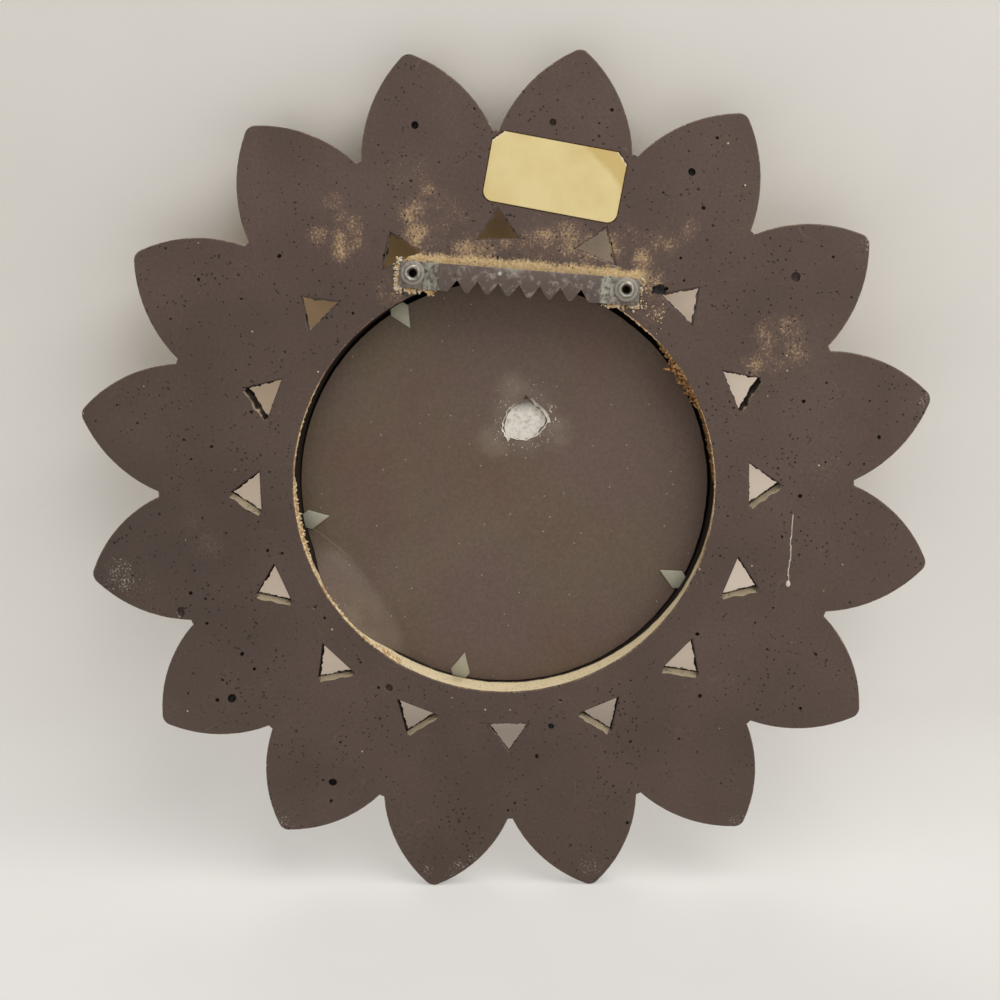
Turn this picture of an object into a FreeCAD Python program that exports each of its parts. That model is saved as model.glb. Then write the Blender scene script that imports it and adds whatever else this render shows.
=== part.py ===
import FreeCAD, Part
import math
import os
import Sketcher
from FreeCAD import Placement, Rotation, Vector

# Sunburst mirror: a round glass in a cast frame of sixteen pointed petals, hung by a sawtooth strip.
# The mirror's axis is Y. The front faces -Y, the flat back of the casting lies in the plane y = 0, +Z is up.
# Left and right in the names of pieces are as seen from the back, where +X is on the left.

# Driving dimensions in millimetres and degrees
SIZES = {
    # outline of the petals
    "petal_count": 16,
    "tip_reach": 113.9,          # from the mirror's axis to a petal's rounded tip
    "tip_round": 3.0,
    "petal_width": 36.8,         # a petal's breadth where it is widest
    "flank_radius": 37.0,        # bend of a petal's two curved sides
    "notch_reach": 92.5,         # from the axis to the bottom of the notch between two petals
    "side_draft": 5.0,           # lean of the petals' side walls, so that the casting leaves its mould
    # relief of the petals, heights measured from the flat back
    "spear_root_height": 14.0,   # domed middle of a petal, where it meets the ring
    "spear_tip_height": 6.0,
    "valley_root_height": 8.0,   # sharp line between two petals, at the ring
    "valley_rim_height": 4.6,    # and out at the petals' tips
    "bevel_lean": 22.0,          # rise of a petal's flat bevels from that line
    # ring round the glass
    "rebate_radius": 56.0,
    "lip_width": 5.0,            # how far the lip in front of the glass reaches in over it
    "rebate_depth": 14.5,
    "ring_wall": 8.0,            # from the rebate to the ring's outer face
    "ring_height": 20.0,
    "ring_shoulder": 15.5,       # height at which the ring's outer roll starts
    "crown_width": 2.2,          # flat band on top of the ring
    "crown_inset": 3.6,          # from the ring's outer face to that band
    "sight_edge": 1.8,           # thickness of that lip at its edge
    "root_tuck": 2.0,            # how far the petals run in under the ring
    # piercings between the petals' roots
    "piercing_gap": 1.0,         # from the ring's outer face to a piercing's base
    "piercing_width": 11.6,
    "piercing_length": 8.2,
    # glass, board and the points that hold them
    "glass_thickness": 3.0,
    "glass_clearance": 0.8,
    "glass_seam": 0.4,           # ground edge of the glass
    "board_thickness": 1.5,
    "board_clearance": 0.8,
    "seat_gap": 0.15,            # left under the glass and the board where they stand in the rebate
    "point_length": 11.0,
    "point_width": 5.4,
    "point_thickness": 0.5,
    "point_bite": 3.9,           # how far a point is driven into the wall of the rebate
    "point_upper_left_turn": 29.8,   # clockwise from the top as seen from the front
    "point_left_turn": 99.8,
    "point_bottom_turn": 165.8,
    "point_right_turn": 239.6,
    # sawtooth hanger and its rivets
    "hanger_turn": 5.6,          # how far the hanger sits off the top, round the mirror's axis
    "hanger_length": 62.4,
    "hanger_height": 7.0,
    "hanger_gauge": 0.9,
    "hanger_standoff": 1.3,      # rise of the toothed stretch above the end tabs
    "tab_length": 9.4,
    "joggle_run": 1.4,           # length of the bend between a tab and the toothed stretch
    "hanger_corner": 1.4,
    "hole_inset": 3.5,           # from the strip's end to the rivet hole in its tab
    "hole_rise": 0.5,            # holes above the middle of the strip
    "tooth_pitch": 5.35,
    "notch_depth": 3.1,
    "tooth_tip": 1.0,            # flat end of a tooth
    "rivet_inset": 5.2,          # from the rebate's wall to a rivet
    "rivet_shank_radius": 1.6,
    "rivet_bore_radius": 1.05,
    "rivet_flange_radius": 3.1,
    "rivet_flange_thickness": 0.35,
    "rivet_curl_radius": 2.35,   # rolled collar that stands on the flange
    "rivet_curl_slope": 0.4,     # how far the collar's sides lean in towards its top
    "rivet_head_height": 1.1,
    "rivet_length": 8.0,
    # paper label
    "label_width": 34.8,
    "label_height": 17.7,
    "label_thickness": 0.15,
    "label_corner": 2.5,         # rounded lower corners
    "label_tear": 2.6,           # upper corners torn off
    "label_side": 14.9,          # from the middle of the frame
    "label_rise": 80.5,          # above the mirror's axis
    "label_tilt": 11.7,
    # how far the shapes that cut the relief run past the casting
    "cut_margin": 2.0,
}

# Places that follow from the sizes, as expressions of the sheet
HALF_PITCH = "180 / dims.petal_count"
RING_RADIUS = "(dims.rebate_radius + dims.ring_wall)"
ROOT_RADIUS = f"({RING_RADIUS} - dims.root_tuck)"
CUT_RADIUS = "(dims.tip_reach + dims.cut_margin)"
CUT_TOP = "(dims.ring_height + dims.cut_margin)"
GLASS_BACK = "(dims.rebate_depth - dims.glass_thickness)"
BOARD_BACK = f"({GLASS_BACK} - dims.board_thickness)"
SIGHT_RADIUS = "(dims.rebate_radius - dims.lip_width)"
RIVET_RADIUS = "(dims.rebate_radius + dims.rivet_inset)"
HALF_SPACING = "(dims.hanger_length / 2 - dims.hole_inset)"
HANGER_REACH = f"sqrt({RIVET_RADIUS}^2 - {HALF_SPACING}^2)"
NOTCH_COUNT = "floor((dims.hanger_length - 2 * (dims.tab_length + dims.joggle_run)) / dims.tooth_pitch)"
STRIP_BOTTOM = "(-dims.hanger_height / 2 - dims.hole_rise)"

TOLERANCE = 1e-4

doc = FreeCAD.newDocument("sunburst_mirror")


def fill_sheet():
    """Writes the driving dimensions into a sheet, one named cell each."""
    sheet = doc.addObject("Spreadsheet::Sheet", "dims")
    for row, (alias, value) in enumerate(SIZES.items(), start=1):
        sheet.set(f"A{row}", alias)
        sheet.set(f"B{row}", str(value))
        sheet.setAlias(f"B{row}", alias)
    doc.recompute()
    return sheet


dims = fill_sheet()


def value_of(expression):
    """Number that an expression of the sheet stands for."""
    return float(dims.evalExpression(expression))


def new_body(label):
    body = doc.addObject("PartDesign::Body", label)
    body.Label = label
    return body


def origin_feature(body, role):
    for feature in body.Origin.OriginFeatures:
        if feature.Role == role:
            return feature
    raise ValueError(f"no {role} in {body.Label}")


def new_sketch(body, name, plane, offset=None, turn=None):
    """Sketch on an origin plane, moved along its normal and turned in its own plane where asked."""
    sketch = body.newObject("Sketcher::SketchObject", name)
    sketch.AttachmentSupport = [(origin_feature(body, plane), "")]
    sketch.MapMode = "FlatFace"
    if offset is not None:
        sketch.setExpression("AttachmentOffset.Base.z", offset)
    if turn is not None:
        sketch.AttachmentOffset = Placement(Vector(), Rotation(Vector(0, 0, 1), 1.0))
        sketch.setExpression("AttachmentOffset.Rotation.Angle", turn)
    return sketch


def tie(sketch, kind, name, expression, *where):
    """Adds a dimension to a sketch and ties it to an expression of the sheet."""
    index = sketch.addConstraint(Sketcher.Constraint(kind, *where, value_of(expression)))
    sketch.renameConstraint(index, name)
    sketch.setExpression(f"Constraints.{name}", expression)


def pin(sketch, name, edge, end, corner):
    """Holds one end of an edge at a place given by two expressions."""
    tie(sketch, "DistanceX", f"{name}_x", corner[0], -1, 1, edge, end)
    tie(sketch, "DistanceY", f"{name}_y", corner[1], -1, 1, edge, end)


def bend(start, end, radius):
    """Arc between two points: a positive radius bulges to the left of the way along it."""
    chord = end - start
    half = chord.Length / 2
    side = Vector(-chord.y, chord.x, 0).normalize() * math.copysign(1, radius)
    depth = math.sqrt(max(radius * radius - half * half, 0))
    middle = (start + end) / 2
    crest = middle - side * depth + side * abs(radius)
    return Part.Arc(start, crest, end)


def outline(body, name, plane, corners, arcs=None, offset=None, turn=None):
    """Closed outline through corners given as expressions. Edges named in arcs are bent to a radius."""
    arcs = arcs or {}
    sketch = new_sketch(body, name, plane, offset, turn)
    points = [Vector(value_of(x), value_of(y), 0) for x, y in corners]
    ends = []
    for index, start in enumerate(points):
        end = points[(index + 1) % len(points)]
        if index not in arcs:
            edge = sketch.addGeometry(Part.LineSegment(start, end))
            ends.append((edge, 1, 2))
            continue
        side, radius = arcs[index]
        arc = bend(start, end, side * value_of(radius))
        edge = sketch.addGeometry(arc)
        forward = sketch.getPoint(edge, 1).isEqual(start, TOLERANCE)
        ends.append((edge, 1, 2) if forward else (edge, 2, 1))
        tie(sketch, "Radius", f"bend_{index}", radius, edge)
    for index, (edge, first, last) in enumerate(ends):
        following, following_first, _ = ends[(index + 1) % len(ends)]
        sketch.addConstraint(Sketcher.Constraint("Coincident", edge, last, following, following_first))
        pin(sketch, f"corner_{index}", edge, first, corners[index])
    return sketch


def circles(body, name, centres, radius, offset=None, turn=None):
    """Circles of one radius round centres given as expressions, on the plane of the back."""
    sketch = new_sketch(body, name, "XZ_Plane", offset, turn)
    for index, centre in enumerate(centres):
        middle = Vector(value_of(centre[0]), value_of(centre[1]), 0)
        ring = sketch.addGeometry(Part.Circle(middle, Vector(0, 0, 1), value_of(radius)))
        pin(sketch, f"centre_{index}", ring, 3, centre)
        tie(sketch, "Radius", f"radius_{index}", radius, ring)
    return sketch


def grow(body, kind, name, profile, length=None, reverse=False):
    """Pad or Pocket of a profile, by a length or right through."""
    feature = body.newObject(f"PartDesign::{kind}", name)
    feature.Profile = profile
    feature.Reversed = reverse
    if length is None:
        feature.Type = "ThroughAll"
    else:
        feature.setExpression("Length", length)
    doc.recompute()
    return feature


def turn_profile(body, kind, name, profile):
    """Revolution or Groove of a profile round the mirror's axis."""
    feature = body.newObject(f"PartDesign::{kind}", name)
    feature.Profile = profile
    feature.ReferenceAxis = (origin_feature(body, "Y_Axis"), [""])
    feature.Angle = 360
    doc.recompute()
    return feature


def scoop(body, name, first, last):
    """Cut with straight sides from one section to another."""
    feature = body.newObject("PartDesign::SubtractiveLoft", name)
    feature.Profile = first
    feature.Sections = [last]
    feature.Ruled = True
    doc.recompute()
    return feature


def round_the_axis(body, name, originals):
    """Repeats features once for each petal."""
    pattern = body.newObject("PartDesign::PolarPattern", name)
    pattern.Originals = originals
    pattern.Axis = (origin_feature(body, "Y_Axis"), [""])
    pattern.Angle = 360
    pattern.setExpression("Occurrences", "dims.petal_count")
    body.Tip = pattern
    doc.recompute()
    return pattern


def place(piece, x="0", y="0", z="0", turn=None):
    """Ties a piece's place to the sheet, with a turn round an axis parallel to the mirror's."""
    if turn is not None:
        piece.Placement = Placement(Vector(), Rotation(Vector(0, 1, 0), 1.0))
        piece.setExpression("Placement.Rotation.Angle", turn)
    for letter, expression in zip("xyz", (x, y, z)):
        piece.setExpression(f"Placement.Base.{letter}", expression)


def petal_outline(body):
    """One petal seen from the front: two curved sides, a rounded tip, a root that runs in under the ring."""
    tip_middle = "(dims.tip_reach - dims.tip_round)"
    span = "(dims.flank_radius - dims.tip_round)"
    side_offset = "(dims.flank_radius - dims.petal_width / 2)"
    rise = f"sqrt({span}^2 - {side_offset}^2)"
    belly = f"({tip_middle} - {rise})"
    root = f"min({ROOT_RADIUS}; {belly} - dims.root_tuck)"
    touch_x = f"(dims.tip_round * {side_offset} / {span})"
    touch_z = f"({tip_middle} + dims.tip_round * {rise} / {span})"
    half_width = "(dims.petal_width / 2)"
    corners = [
        (half_width, root),
        (half_width, belly),
        (touch_x, touch_z),
        (f"-{touch_x}", touch_z),
        (f"-{half_width}", belly),
        (f"-{half_width}", root),
    ]
    sides = {
        1: (-1, "dims.flank_radius"),
        2: (-1, "dims.tip_round"),
        3: (-1, "dims.flank_radius"),
    }
    return outline(body, "petal_outline", "XZ_Plane", corners, sides, turn=HALF_PITCH)


def dome_outline(body):
    """Space above the petals, whose middles lie on a ball centred on the mirror's axis."""
    fall = "(dims.spear_root_height - dims.spear_tip_height)"
    drop = f"(({CUT_RADIUS}^2 - {ROOT_RADIUS}^2 - {fall}^2) / (2 * {fall}))"
    ball = f"sqrt({CUT_RADIUS}^2 + {drop}^2)"
    corners = [
        ("-dims.spear_root_height", ROOT_RADIUS),
        ("-dims.spear_tip_height", CUT_RADIUS),
        (f"-{CUT_TOP}", CUT_RADIUS),
        (f"-{CUT_TOP}", ROOT_RADIUS),
    ]
    return outline(body, "dome_outline", "YZ_Plane", corners, {0: (1, ball)})


def valley_section(body, name, radius, height):
    """Section of the valley between two petals: two flat bevels that meet in a sharp line."""
    reach = f"({radius} * cos({HALF_PITCH}))"
    run = f"({CUT_TOP} / tan(dims.bevel_lean))"
    top = f"-({height} + {CUT_TOP})"
    corners = [
        ("0", f"-{height}"),
        (run, top),
        (f"-{run}", top),
    ]
    return outline(body, name, "XY_Plane", corners, offset=reach)


def ring_outline(body):
    """Section of the moulded ring: slope beside the glass, flat crown, round outer roll."""
    crown_outer = f"({RING_RADIUS} - dims.crown_inset)"
    crown_inner = f"({crown_outer} - dims.crown_width)"
    edge_height = "(dims.rebate_depth + dims.sight_edge)"
    roll_rise = "(dims.ring_height - dims.ring_shoulder)"
    roll = f"((dims.crown_inset^2 + {roll_rise}^2) / (2 * min(dims.crown_inset; {roll_rise})))"
    corners = [
        ("0", SIGHT_RADIUS),
        (f"-{edge_height}", SIGHT_RADIUS),
        ("-dims.ring_height", crown_inner),
        ("-dims.ring_height", crown_outer),
        ("-dims.ring_shoulder", RING_RADIUS),
        ("0", RING_RADIUS),
    ]
    return outline(body, "ring_outline", "YZ_Plane", corners, {3: (-1, roll)})


def make_casting():
    """The frame as it leaves the mould, drilled for the hanger's rivets."""
    body = new_body("casting")
    disc = circles(body, "root_disc_outline", [("0", "0")], "dims.notch_reach")
    grow(body, "Pad", "root_disc", disc, "dims.ring_shoulder")
    petal = grow(body, "Pad", "petal", petal_outline(body), "dims.ring_shoulder")
    petal.setExpression("TaperAngle", "-dims.side_draft")
    doc.recompute()
    round_the_axis(body, "petals", [petal])
    turn_profile(body, "Groove", "dome", dome_outline(body))

    valley = scoop(
        body,
        "valley",
        valley_section(body, "valley_root", ROOT_RADIUS, "dims.valley_root_height"),
        valley_section(body, "valley_rim", CUT_RADIUS, "dims.valley_rim_height"),
    )
    round_the_axis(body, "valleys", [valley])
    turn_profile(body, "Revolution", "ring", ring_outline(body))

    sight = circles(body, "sight_outline", [("0", "0")], SIGHT_RADIUS)
    grow(body, "Pocket", "sight", sight, reverse=True)
    rebate = circles(body, "rebate_outline", [("0", "0")], "dims.rebate_radius")
    grow(body, "Pocket", "rebate", rebate, "dims.rebate_depth", reverse=True)

    base = f"({RING_RADIUS} + dims.piercing_gap)"
    corners = [
        ("0", f"{base} + dims.piercing_length"),
        ("-dims.piercing_width / 2", base),
        ("dims.piercing_width / 2", base),
    ]
    piercing = grow(body, "Pocket", "piercing", outline(body, "piercing_outline", "XZ_Plane", corners),
                    reverse=True)
    round_the_axis(body, "piercings", [piercing])

    centres = [(HALF_SPACING, HANGER_REACH), (f"-{HALF_SPACING}", HANGER_REACH)]
    holes = circles(body, "rivet_holes_outline", centres, "dims.rivet_shank_radius", turn="dims.hanger_turn")
    grow(body, "Pocket", "rivet_holes", holes, "dims.rivet_length", reverse=True)
    return body


def round_plate(label, clearance, thickness, back):
    """Disc that stands in the rebate with its back face at a depth from the casting's back."""
    body = new_body(label)
    rim = circles(body, f"{label}_outline", [("0", "0")], f"dims.rebate_radius - {clearance}", offset=back)
    plate = grow(body, "Pad", f"{label}_disc", rim, thickness)
    place(body, z=f"dims.seat_gap - {clearance}")
    return body, plate


def make_glass():
    """Silvered glass with its two sharp edges ground off."""
    body, plate = round_plate("mirror_glass", "dims.glass_clearance", "dims.glass_thickness", GLASS_BACK)
    rims = []
    for index, edge in enumerate(plate.Shape.Edges, start=1):
        if len(edge.Vertexes) == 1:
            rims.append(f"Edge{index}")
    seam = body.newObject("PartDesign::Chamfer", "glass_seam")
    seam.Base = (plate, rims)
    seam.setExpression("Size", "dims.glass_seam")
    return body


def make_board():
    """Card that closes the rebate behind the glass."""
    body, _ = round_plate("backing_board", "dims.board_clearance", "dims.board_thickness", BOARD_BACK)
    return body


def make_point(side):
    """Diamond of sheet steel that lies on the board with its outer end in the wall of the rebate."""
    label = f"glazier_point_{side}"
    body = new_body(label)
    outer = "(dims.rebate_radius + dims.point_bite)"
    middle = f"({outer} - dims.point_length / 2)"
    corners = [
        ("0", outer),
        ("dims.point_width / 2", middle),
        ("0", f"{outer} - dims.point_length"),
        ("-dims.point_width / 2", middle),
    ]
    diamond = outline(body, f"{label}_outline", "XZ_Plane", corners, offset=BOARD_BACK)
    grow(body, "Pad", f"{label}_plate", diamond, "dims.point_thickness", reverse=True)
    place(body, turn=f"dims.point_{side}_turn")
    return body


def strip_outline(body):
    """The hanger seen from above: two tabs on the casting and a raised stretch between them."""
    end = "(dims.hanger_length / 2)"
    foot = f"({end} - dims.tab_length)"
    top = f"({foot} - dims.joggle_run)"
    shift = "(dims.hanger_gauge * tan(atan(dims.hanger_standoff / dims.joggle_run) / 2))"
    gauge = "dims.hanger_gauge"
    rise = "dims.hanger_standoff"
    half = [
        (end, "0"),
        (foot, "0"),
        (top, rise),
    ]
    other_half = [
        (f"{top} + {shift}", f"{rise} + {gauge}"),
        (f"{foot} + {shift}", gauge),
        (end, gauge),
    ]
    corners = half
    corners = corners + [(f"-({x})", y) for x, y in reversed(half)]
    corners = corners + [(f"-({x})", y) for x, y in reversed(other_half)]
    corners = corners + other_half
    return outline(body, "strip_outline", "XY_Plane", corners, offset=STRIP_BOTTOM)


def make_hanger():
    """Pressed strip with a row of notches for a nail, a hole in each tab and rounded corners."""
    body = new_body("sawtooth_hanger")
    strip = grow(body, "Pad", "strip", strip_outline(body), "dims.hanger_height")

    corners = []
    for index, edge in enumerate(strip.Shape.Edges, start=1):
        at_end = all(abs(abs(v.X) - value_of("dims.hanger_length / 2")) < TOLERANCE for v in edge.Vertexes)
        across = abs(edge.tangentAt(edge.FirstParameter).y) > 1 - TOLERANCE
        if at_end and across:
            corners.append(f"Edge{index}")
    rounded = body.newObject("PartDesign::Fillet", "strip_corners")
    rounded.Base = (strip, corners)
    rounded.setExpression("Radius", "dims.hanger_corner")
    doc.recompute()

    row_length = f"(dims.tooth_pitch * ({NOTCH_COUNT} - 1))"
    first = f"(-{row_length} / 2)"
    half = "((dims.tooth_pitch - dims.tooth_tip) / 2)"
    below = f"({STRIP_BOTTOM} - dims.notch_depth)"
    notch_corners = [
        (first, f"{STRIP_BOTTOM} + dims.notch_depth"),
        (f"{first} - 2 * {half}", below),
        (f"{first} + 2 * {half}", below),
    ]
    notch_outline = outline(body, "notch_outline", "XZ_Plane", notch_corners)
    notch = grow(body, "Pocket", "notch", notch_outline)
    row = body.newObject("PartDesign::LinearPattern", "notches")
    row.Originals = [notch]
    row.Direction = (origin_feature(body, "X_Axis"), [""])
    row.setExpression("Length", row_length)
    row.setExpression("Occurrences", NOTCH_COUNT)
    body.Tip = row
    doc.recompute()

    centres = [(HALF_SPACING, "0"), (f"-{HALF_SPACING}", "0")]
    holes = circles(body, "hanger_holes_outline", centres, "dims.rivet_shank_radius")
    grow(body, "Pocket", "hanger_holes", holes)
    place(body, x=f"-{HANGER_REACH} * sin(dims.hanger_turn)", z=f"{HANGER_REACH} * cos(dims.hanger_turn)",
          turn="-dims.hanger_turn")
    return body


def make_rivet(side, sign):
    """Hollow rivet: flange on the hanger's tab, curled collar round the bore, tube in the casting."""
    label = f"hanger_rivet_{side}"
    body = new_body(label)
    seat = "dims.hanger_gauge"
    flange = f"({seat} + dims.rivet_flange_thickness)"
    crown = f"({seat} + dims.rivet_head_height)"
    corners = [
        ("dims.rivet_bore_radius", "-dims.rivet_length"),
        ("dims.rivet_shank_radius", "-dims.rivet_length"),
        ("dims.rivet_shank_radius", seat),
        ("dims.rivet_flange_radius", seat),
        ("dims.rivet_flange_radius", flange),
        ("dims.rivet_curl_radius", flange),
        ("dims.rivet_curl_radius - dims.rivet_curl_slope", crown),
        ("dims.rivet_bore_radius + dims.rivet_curl_slope", crown),
        ("dims.rivet_bore_radius", flange),
    ]
    profile = outline(body, f"{label}_outline", "XY_Plane", corners)
    turn_profile(body, "Revolution", f"{label}_turned", profile)
    half = f"({sign} * {HALF_SPACING})"
    place(
        body,
        x=f"{half} * cos(dims.hanger_turn) - {HANGER_REACH} * sin(dims.hanger_turn)",
        z=f"{half} * sin(dims.hanger_turn) + {HANGER_REACH} * cos(dims.hanger_turn)",
    )
    return body


def make_label():
    """Gummed paper, with rounded lower corners and its upper corners torn off."""
    body = new_body("paper_label")
    half = "(dims.label_width / 2)"
    low = "(-dims.label_height / 2)"
    high = "(dims.label_height / 2)"
    corner = "dims.label_corner"
    tear = "dims.label_tear"
    corners = [
        (f"-{half} + {corner}", low),
        (f"{half} - {corner}", low),
        (half, f"{low} + {corner}"),
        (half, f"{high} - {tear}"),
        (f"{half} - {tear}", high),
        (f"-{half} + {tear}", high),
        (f"-{half}", f"{high} - {tear}"),
        (f"-{half}", f"{low} + {corner}"),
    ]
    sheet_outline = outline(body, "label_outline", "XZ_Plane", corners, {1: (-1, corner), 7: (-1, corner)})
    grow(body, "Pad", "label_sheet", sheet_outline, "dims.label_thickness", reverse=True)
    place(body, x="-dims.label_side", z="dims.label_rise", turn="-dims.label_tilt")
    return body


def make_frame(casting, points):
    """The casting with the slots that the driven points have cut in the wall of its rebate."""
    driven = doc.addObject("Part::MultiFuse", "driven_points")
    driven.Shapes = points
    frame = doc.addObject("Part::Cut", "petal_frame")
    frame.Base = casting
    frame.Tool = driven
    frame.Label = "petal_frame"
    return frame


def check_and_write(pieces):
    """Stops at any failed object or bad shape, then writes one file for each piece."""
    for item in doc.Objects:
        if "Invalid" in item.State or "Error" in item.State:
            raise RuntimeError(f"{item.Label} failed: {item.State}")
    for piece in pieces:
        if piece.Shape.isNull() or not piece.Shape.isValid():
            raise RuntimeError(f"{piece.Label} has no valid shape")
        if len(piece.Shape.Solids) != 1:
            raise RuntimeError(f"{piece.Label} has {len(piece.Shape.Solids)} solids")
    os.makedirs("parts", exist_ok=True)
    for piece in pieces:
        piece.Shape.exportStep(f"parts/{piece.Label}.step")


def main():
    casting = make_casting()
    points = [make_point(side) for side in ("upper_left", "left", "bottom", "right")]
    pieces = [
        make_frame(casting, points),
        make_glass(),
        make_board(),
        make_hanger(),
        make_rivet("left", 1),
        make_rivet("right", -1),
        make_label(),
    ]
    doc.recompute()
    check_and_write(pieces + points)


main()
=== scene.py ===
import math
import random
from functools import partial

import bmesh
import bpy
from bpy.props import FloatProperty, FloatVectorProperty, IntProperty, PointerProperty
from bpy.types import Operator, Panel, PropertyGroup
from mathutils import Euler, Matrix, Vector, noise


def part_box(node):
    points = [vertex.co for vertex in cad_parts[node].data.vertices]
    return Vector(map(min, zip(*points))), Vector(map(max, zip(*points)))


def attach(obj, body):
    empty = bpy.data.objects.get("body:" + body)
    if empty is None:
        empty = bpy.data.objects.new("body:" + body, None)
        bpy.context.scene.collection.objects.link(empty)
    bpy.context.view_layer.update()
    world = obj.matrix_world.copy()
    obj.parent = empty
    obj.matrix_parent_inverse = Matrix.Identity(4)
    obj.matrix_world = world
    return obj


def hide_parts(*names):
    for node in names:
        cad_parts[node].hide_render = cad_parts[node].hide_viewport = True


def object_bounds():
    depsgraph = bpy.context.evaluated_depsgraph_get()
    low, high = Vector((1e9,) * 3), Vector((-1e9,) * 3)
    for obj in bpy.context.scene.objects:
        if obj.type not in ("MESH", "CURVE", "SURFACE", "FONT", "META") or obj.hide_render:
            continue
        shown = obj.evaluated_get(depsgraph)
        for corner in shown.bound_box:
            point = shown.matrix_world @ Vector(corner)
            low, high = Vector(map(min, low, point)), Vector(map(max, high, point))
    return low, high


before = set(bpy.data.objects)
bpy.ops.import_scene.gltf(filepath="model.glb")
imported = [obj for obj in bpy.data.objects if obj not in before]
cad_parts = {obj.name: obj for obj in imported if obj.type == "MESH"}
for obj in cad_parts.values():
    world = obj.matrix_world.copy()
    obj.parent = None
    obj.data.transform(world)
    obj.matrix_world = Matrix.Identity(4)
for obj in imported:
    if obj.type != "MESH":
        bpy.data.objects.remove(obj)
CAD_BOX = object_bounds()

# Sunburst mirror seen from behind: a painted casting with sixteen petals, a card held by glazier points,
# a sawtooth hanger on two hollow rivets, and a gummed label. The front faces -Y, +Z is up, +X is left in the view.

bl_info = {
    "name": "Sunburst mirror, worn back",
    "version": (1, 0, 0),
    "blender": (4, 5, 0),
    "location": "View3D > Sidebar > Mirror",
    "description": "Dresses the packed mirror with its paint, wear, card, hardware and label, and sets its stage",
    "category": "Object",
}

MM = 0.001
WELD = 1e-6
TORN_SEED = 2


def linear(code):
    """Linear colour of an sRGB hex value."""
    shares = [int(code[start:start + 2], 16) / 255 for start in (1, 3, 5)]
    return tuple(s / 12.92 if s <= 0.04045 else ((s + 0.055) / 1.055) ** 2.4 for s in shares) + (1.0,)


def colour(name, description, code):
    """Colour that a user can change, given by its sRGB hex value."""
    return FloatVectorProperty(name=name, description=description, subtype="COLOR", size=4, min=0, max=1,
                               default=linear(code))


def length(name, description, millimetres):
    """Length that a user can change, given in millimetres."""
    return FloatProperty(name=name, description=description, default=millimetres * MM, precision=5,
                         unit="LENGTH", subtype="DISTANCE")


def number(name, description, value, **more):
    """Number that a user can change, never below nothing."""
    return FloatProperty(name=name, description=description, default=value, min=0, **more)


# Settings

class CastingSettings(PropertyGroup):
    edge_round: length("Edge round", "Roundness of the casting's back edges", 0.35)
    pit_count: IntProperty(name="Pits", description="Small open voids in the back", default=150, min=0)
    paint: colour("Paint", "Brown paint brushed over the back", "#5D4D45")
    paint_dark: colour("Paint, dark", "The same paint where it lies thin or dirty", "#4F4039")
    paint_pale: colour("Paint, rubbed", "The same paint rubbed and dusty", "#77665C")
    thin_paint: colour("Paint, thin", "Paint worn so thin that the resin shows through", "#876A59")
    bare: colour("Bare resin", "Casting where the paint has gone", "#C6A26F")
    bare_pale: colour("Bare resin, pale", "Freshly broken casting", "#E6D4AC")
    tip_chalk: colour("Bare tips", "Chalky resin on the rubbed petal tips", "#CFC8BC")
    # sooty dirt on the cut walls, together with the painted shade further in them and in the dark voids
    soot_and_shade: colour("Soot", "Dirt on the cut walls", "#241B16")
    # painted shade: the dark inside pinholes and voids, also laid on the left petals
    darkest_shade: colour("Pinhole", "Inside of a pinhole", "#15100D")
    gilt: colour("Gilt", "Bronze powder finish of the front", "#AE9463")
    gilt_deep: colour("Gilt, toned", "Brown toning left in the valleys", "#3E3226")


class CardSettings(PropertyGroup):
    tear_depth: length("Tear depth", "How deep the torn place goes into the card", 1.0)
    lift: length("Corner lift", "How far the bent corner stands up at the rim", 8.4)
    paint: colour("Card", "Painted face of the card", "#65534A")
    paint_olive: colour("Card, olive", "Greener clouds in the paint", "#665745")
    paint_red: colour("Card, red", "Redder clouds in the paint", "#644A40")
    # the haze colour also paints the pale sheen of the bent corner and the highlight along its crease
    haze: colour("Haze", "Grey bloom on the creased corner", "#9E927F")
    core: colour("Card core", "Paper inside the card", "#E9E5DC")
    edge: colour("Card edge", "Cut edge of the card", "#C9B78E")
    fibre: colour("Paper fibre", "Torn paper standing up at the edge of the tear", "#EFE6DA")
    gap: colour("Gap", "Shadowed gap under the torn paper", "#33291F")


class HardwareSettings(PropertyGroup):
    steel_round: length("Steel round", "Roundness of the pressed steel's edges", 0.12)
    hanger: colour("Hanger paint", "Paint over the hanger", "#5E504A")
    hanger_bare: colour("Hanger, rubbed", "Hanger where the paint is rubbed", "#A79C93")
    bloom: colour("Corrosion", "Pale green bloom on the hanger's tabs", "#A8A899")
    crust: colour("Crust", "Crumbs of glue and corrosion round the tabs", "#CFC7B4")
    point: colour("Point", "Dull zinc on the glazier points", "#ABA997")
    rivet: colour("Rivet", "Tarnished rivet metal", "#B8B2A8")
    # grimy dirt in corners of the metal, also the painted shade on the rivets' flanges and in their bores
    grime_and_shade: colour("Grime", "Dirt in corners of the metal", "#2E2622")
    fibre: colour("Broken resin", "Golden broken resin on the rebate's wall", "#B58A5A")
    fibre_dark: colour("Broken resin, dark", "Cracks in the broken resin", "#553A22")
    silver: colour("Silver", "Silvering behind the glass", "#D8DCDA")
    # paint on the back of the glass, near black to stand also for the shade in the gap round the card
    backing: colour("Backing", "Paint on the back of the glass", "#1F1A18")
    drip: colour("Drip", "Dried drop of pale paint", "#D9D0BE")


class LabelSettings(PropertyGroup):
    paper: colour("Paper", "Yellowed gummed paper", "#E6D49C")
    stain: colour("Stain", "Stained corner", "#CDB06C")
    gum: colour("Gum", "Gum that has crept out from under the paper", "#5A4026")
    gum_dark: colour("Gum, dirty", "The same gum with dirt on it", "#33241A")
    torn: colour("Torn edge", "White paper in the torn edges", "#E6DEC8")


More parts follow.
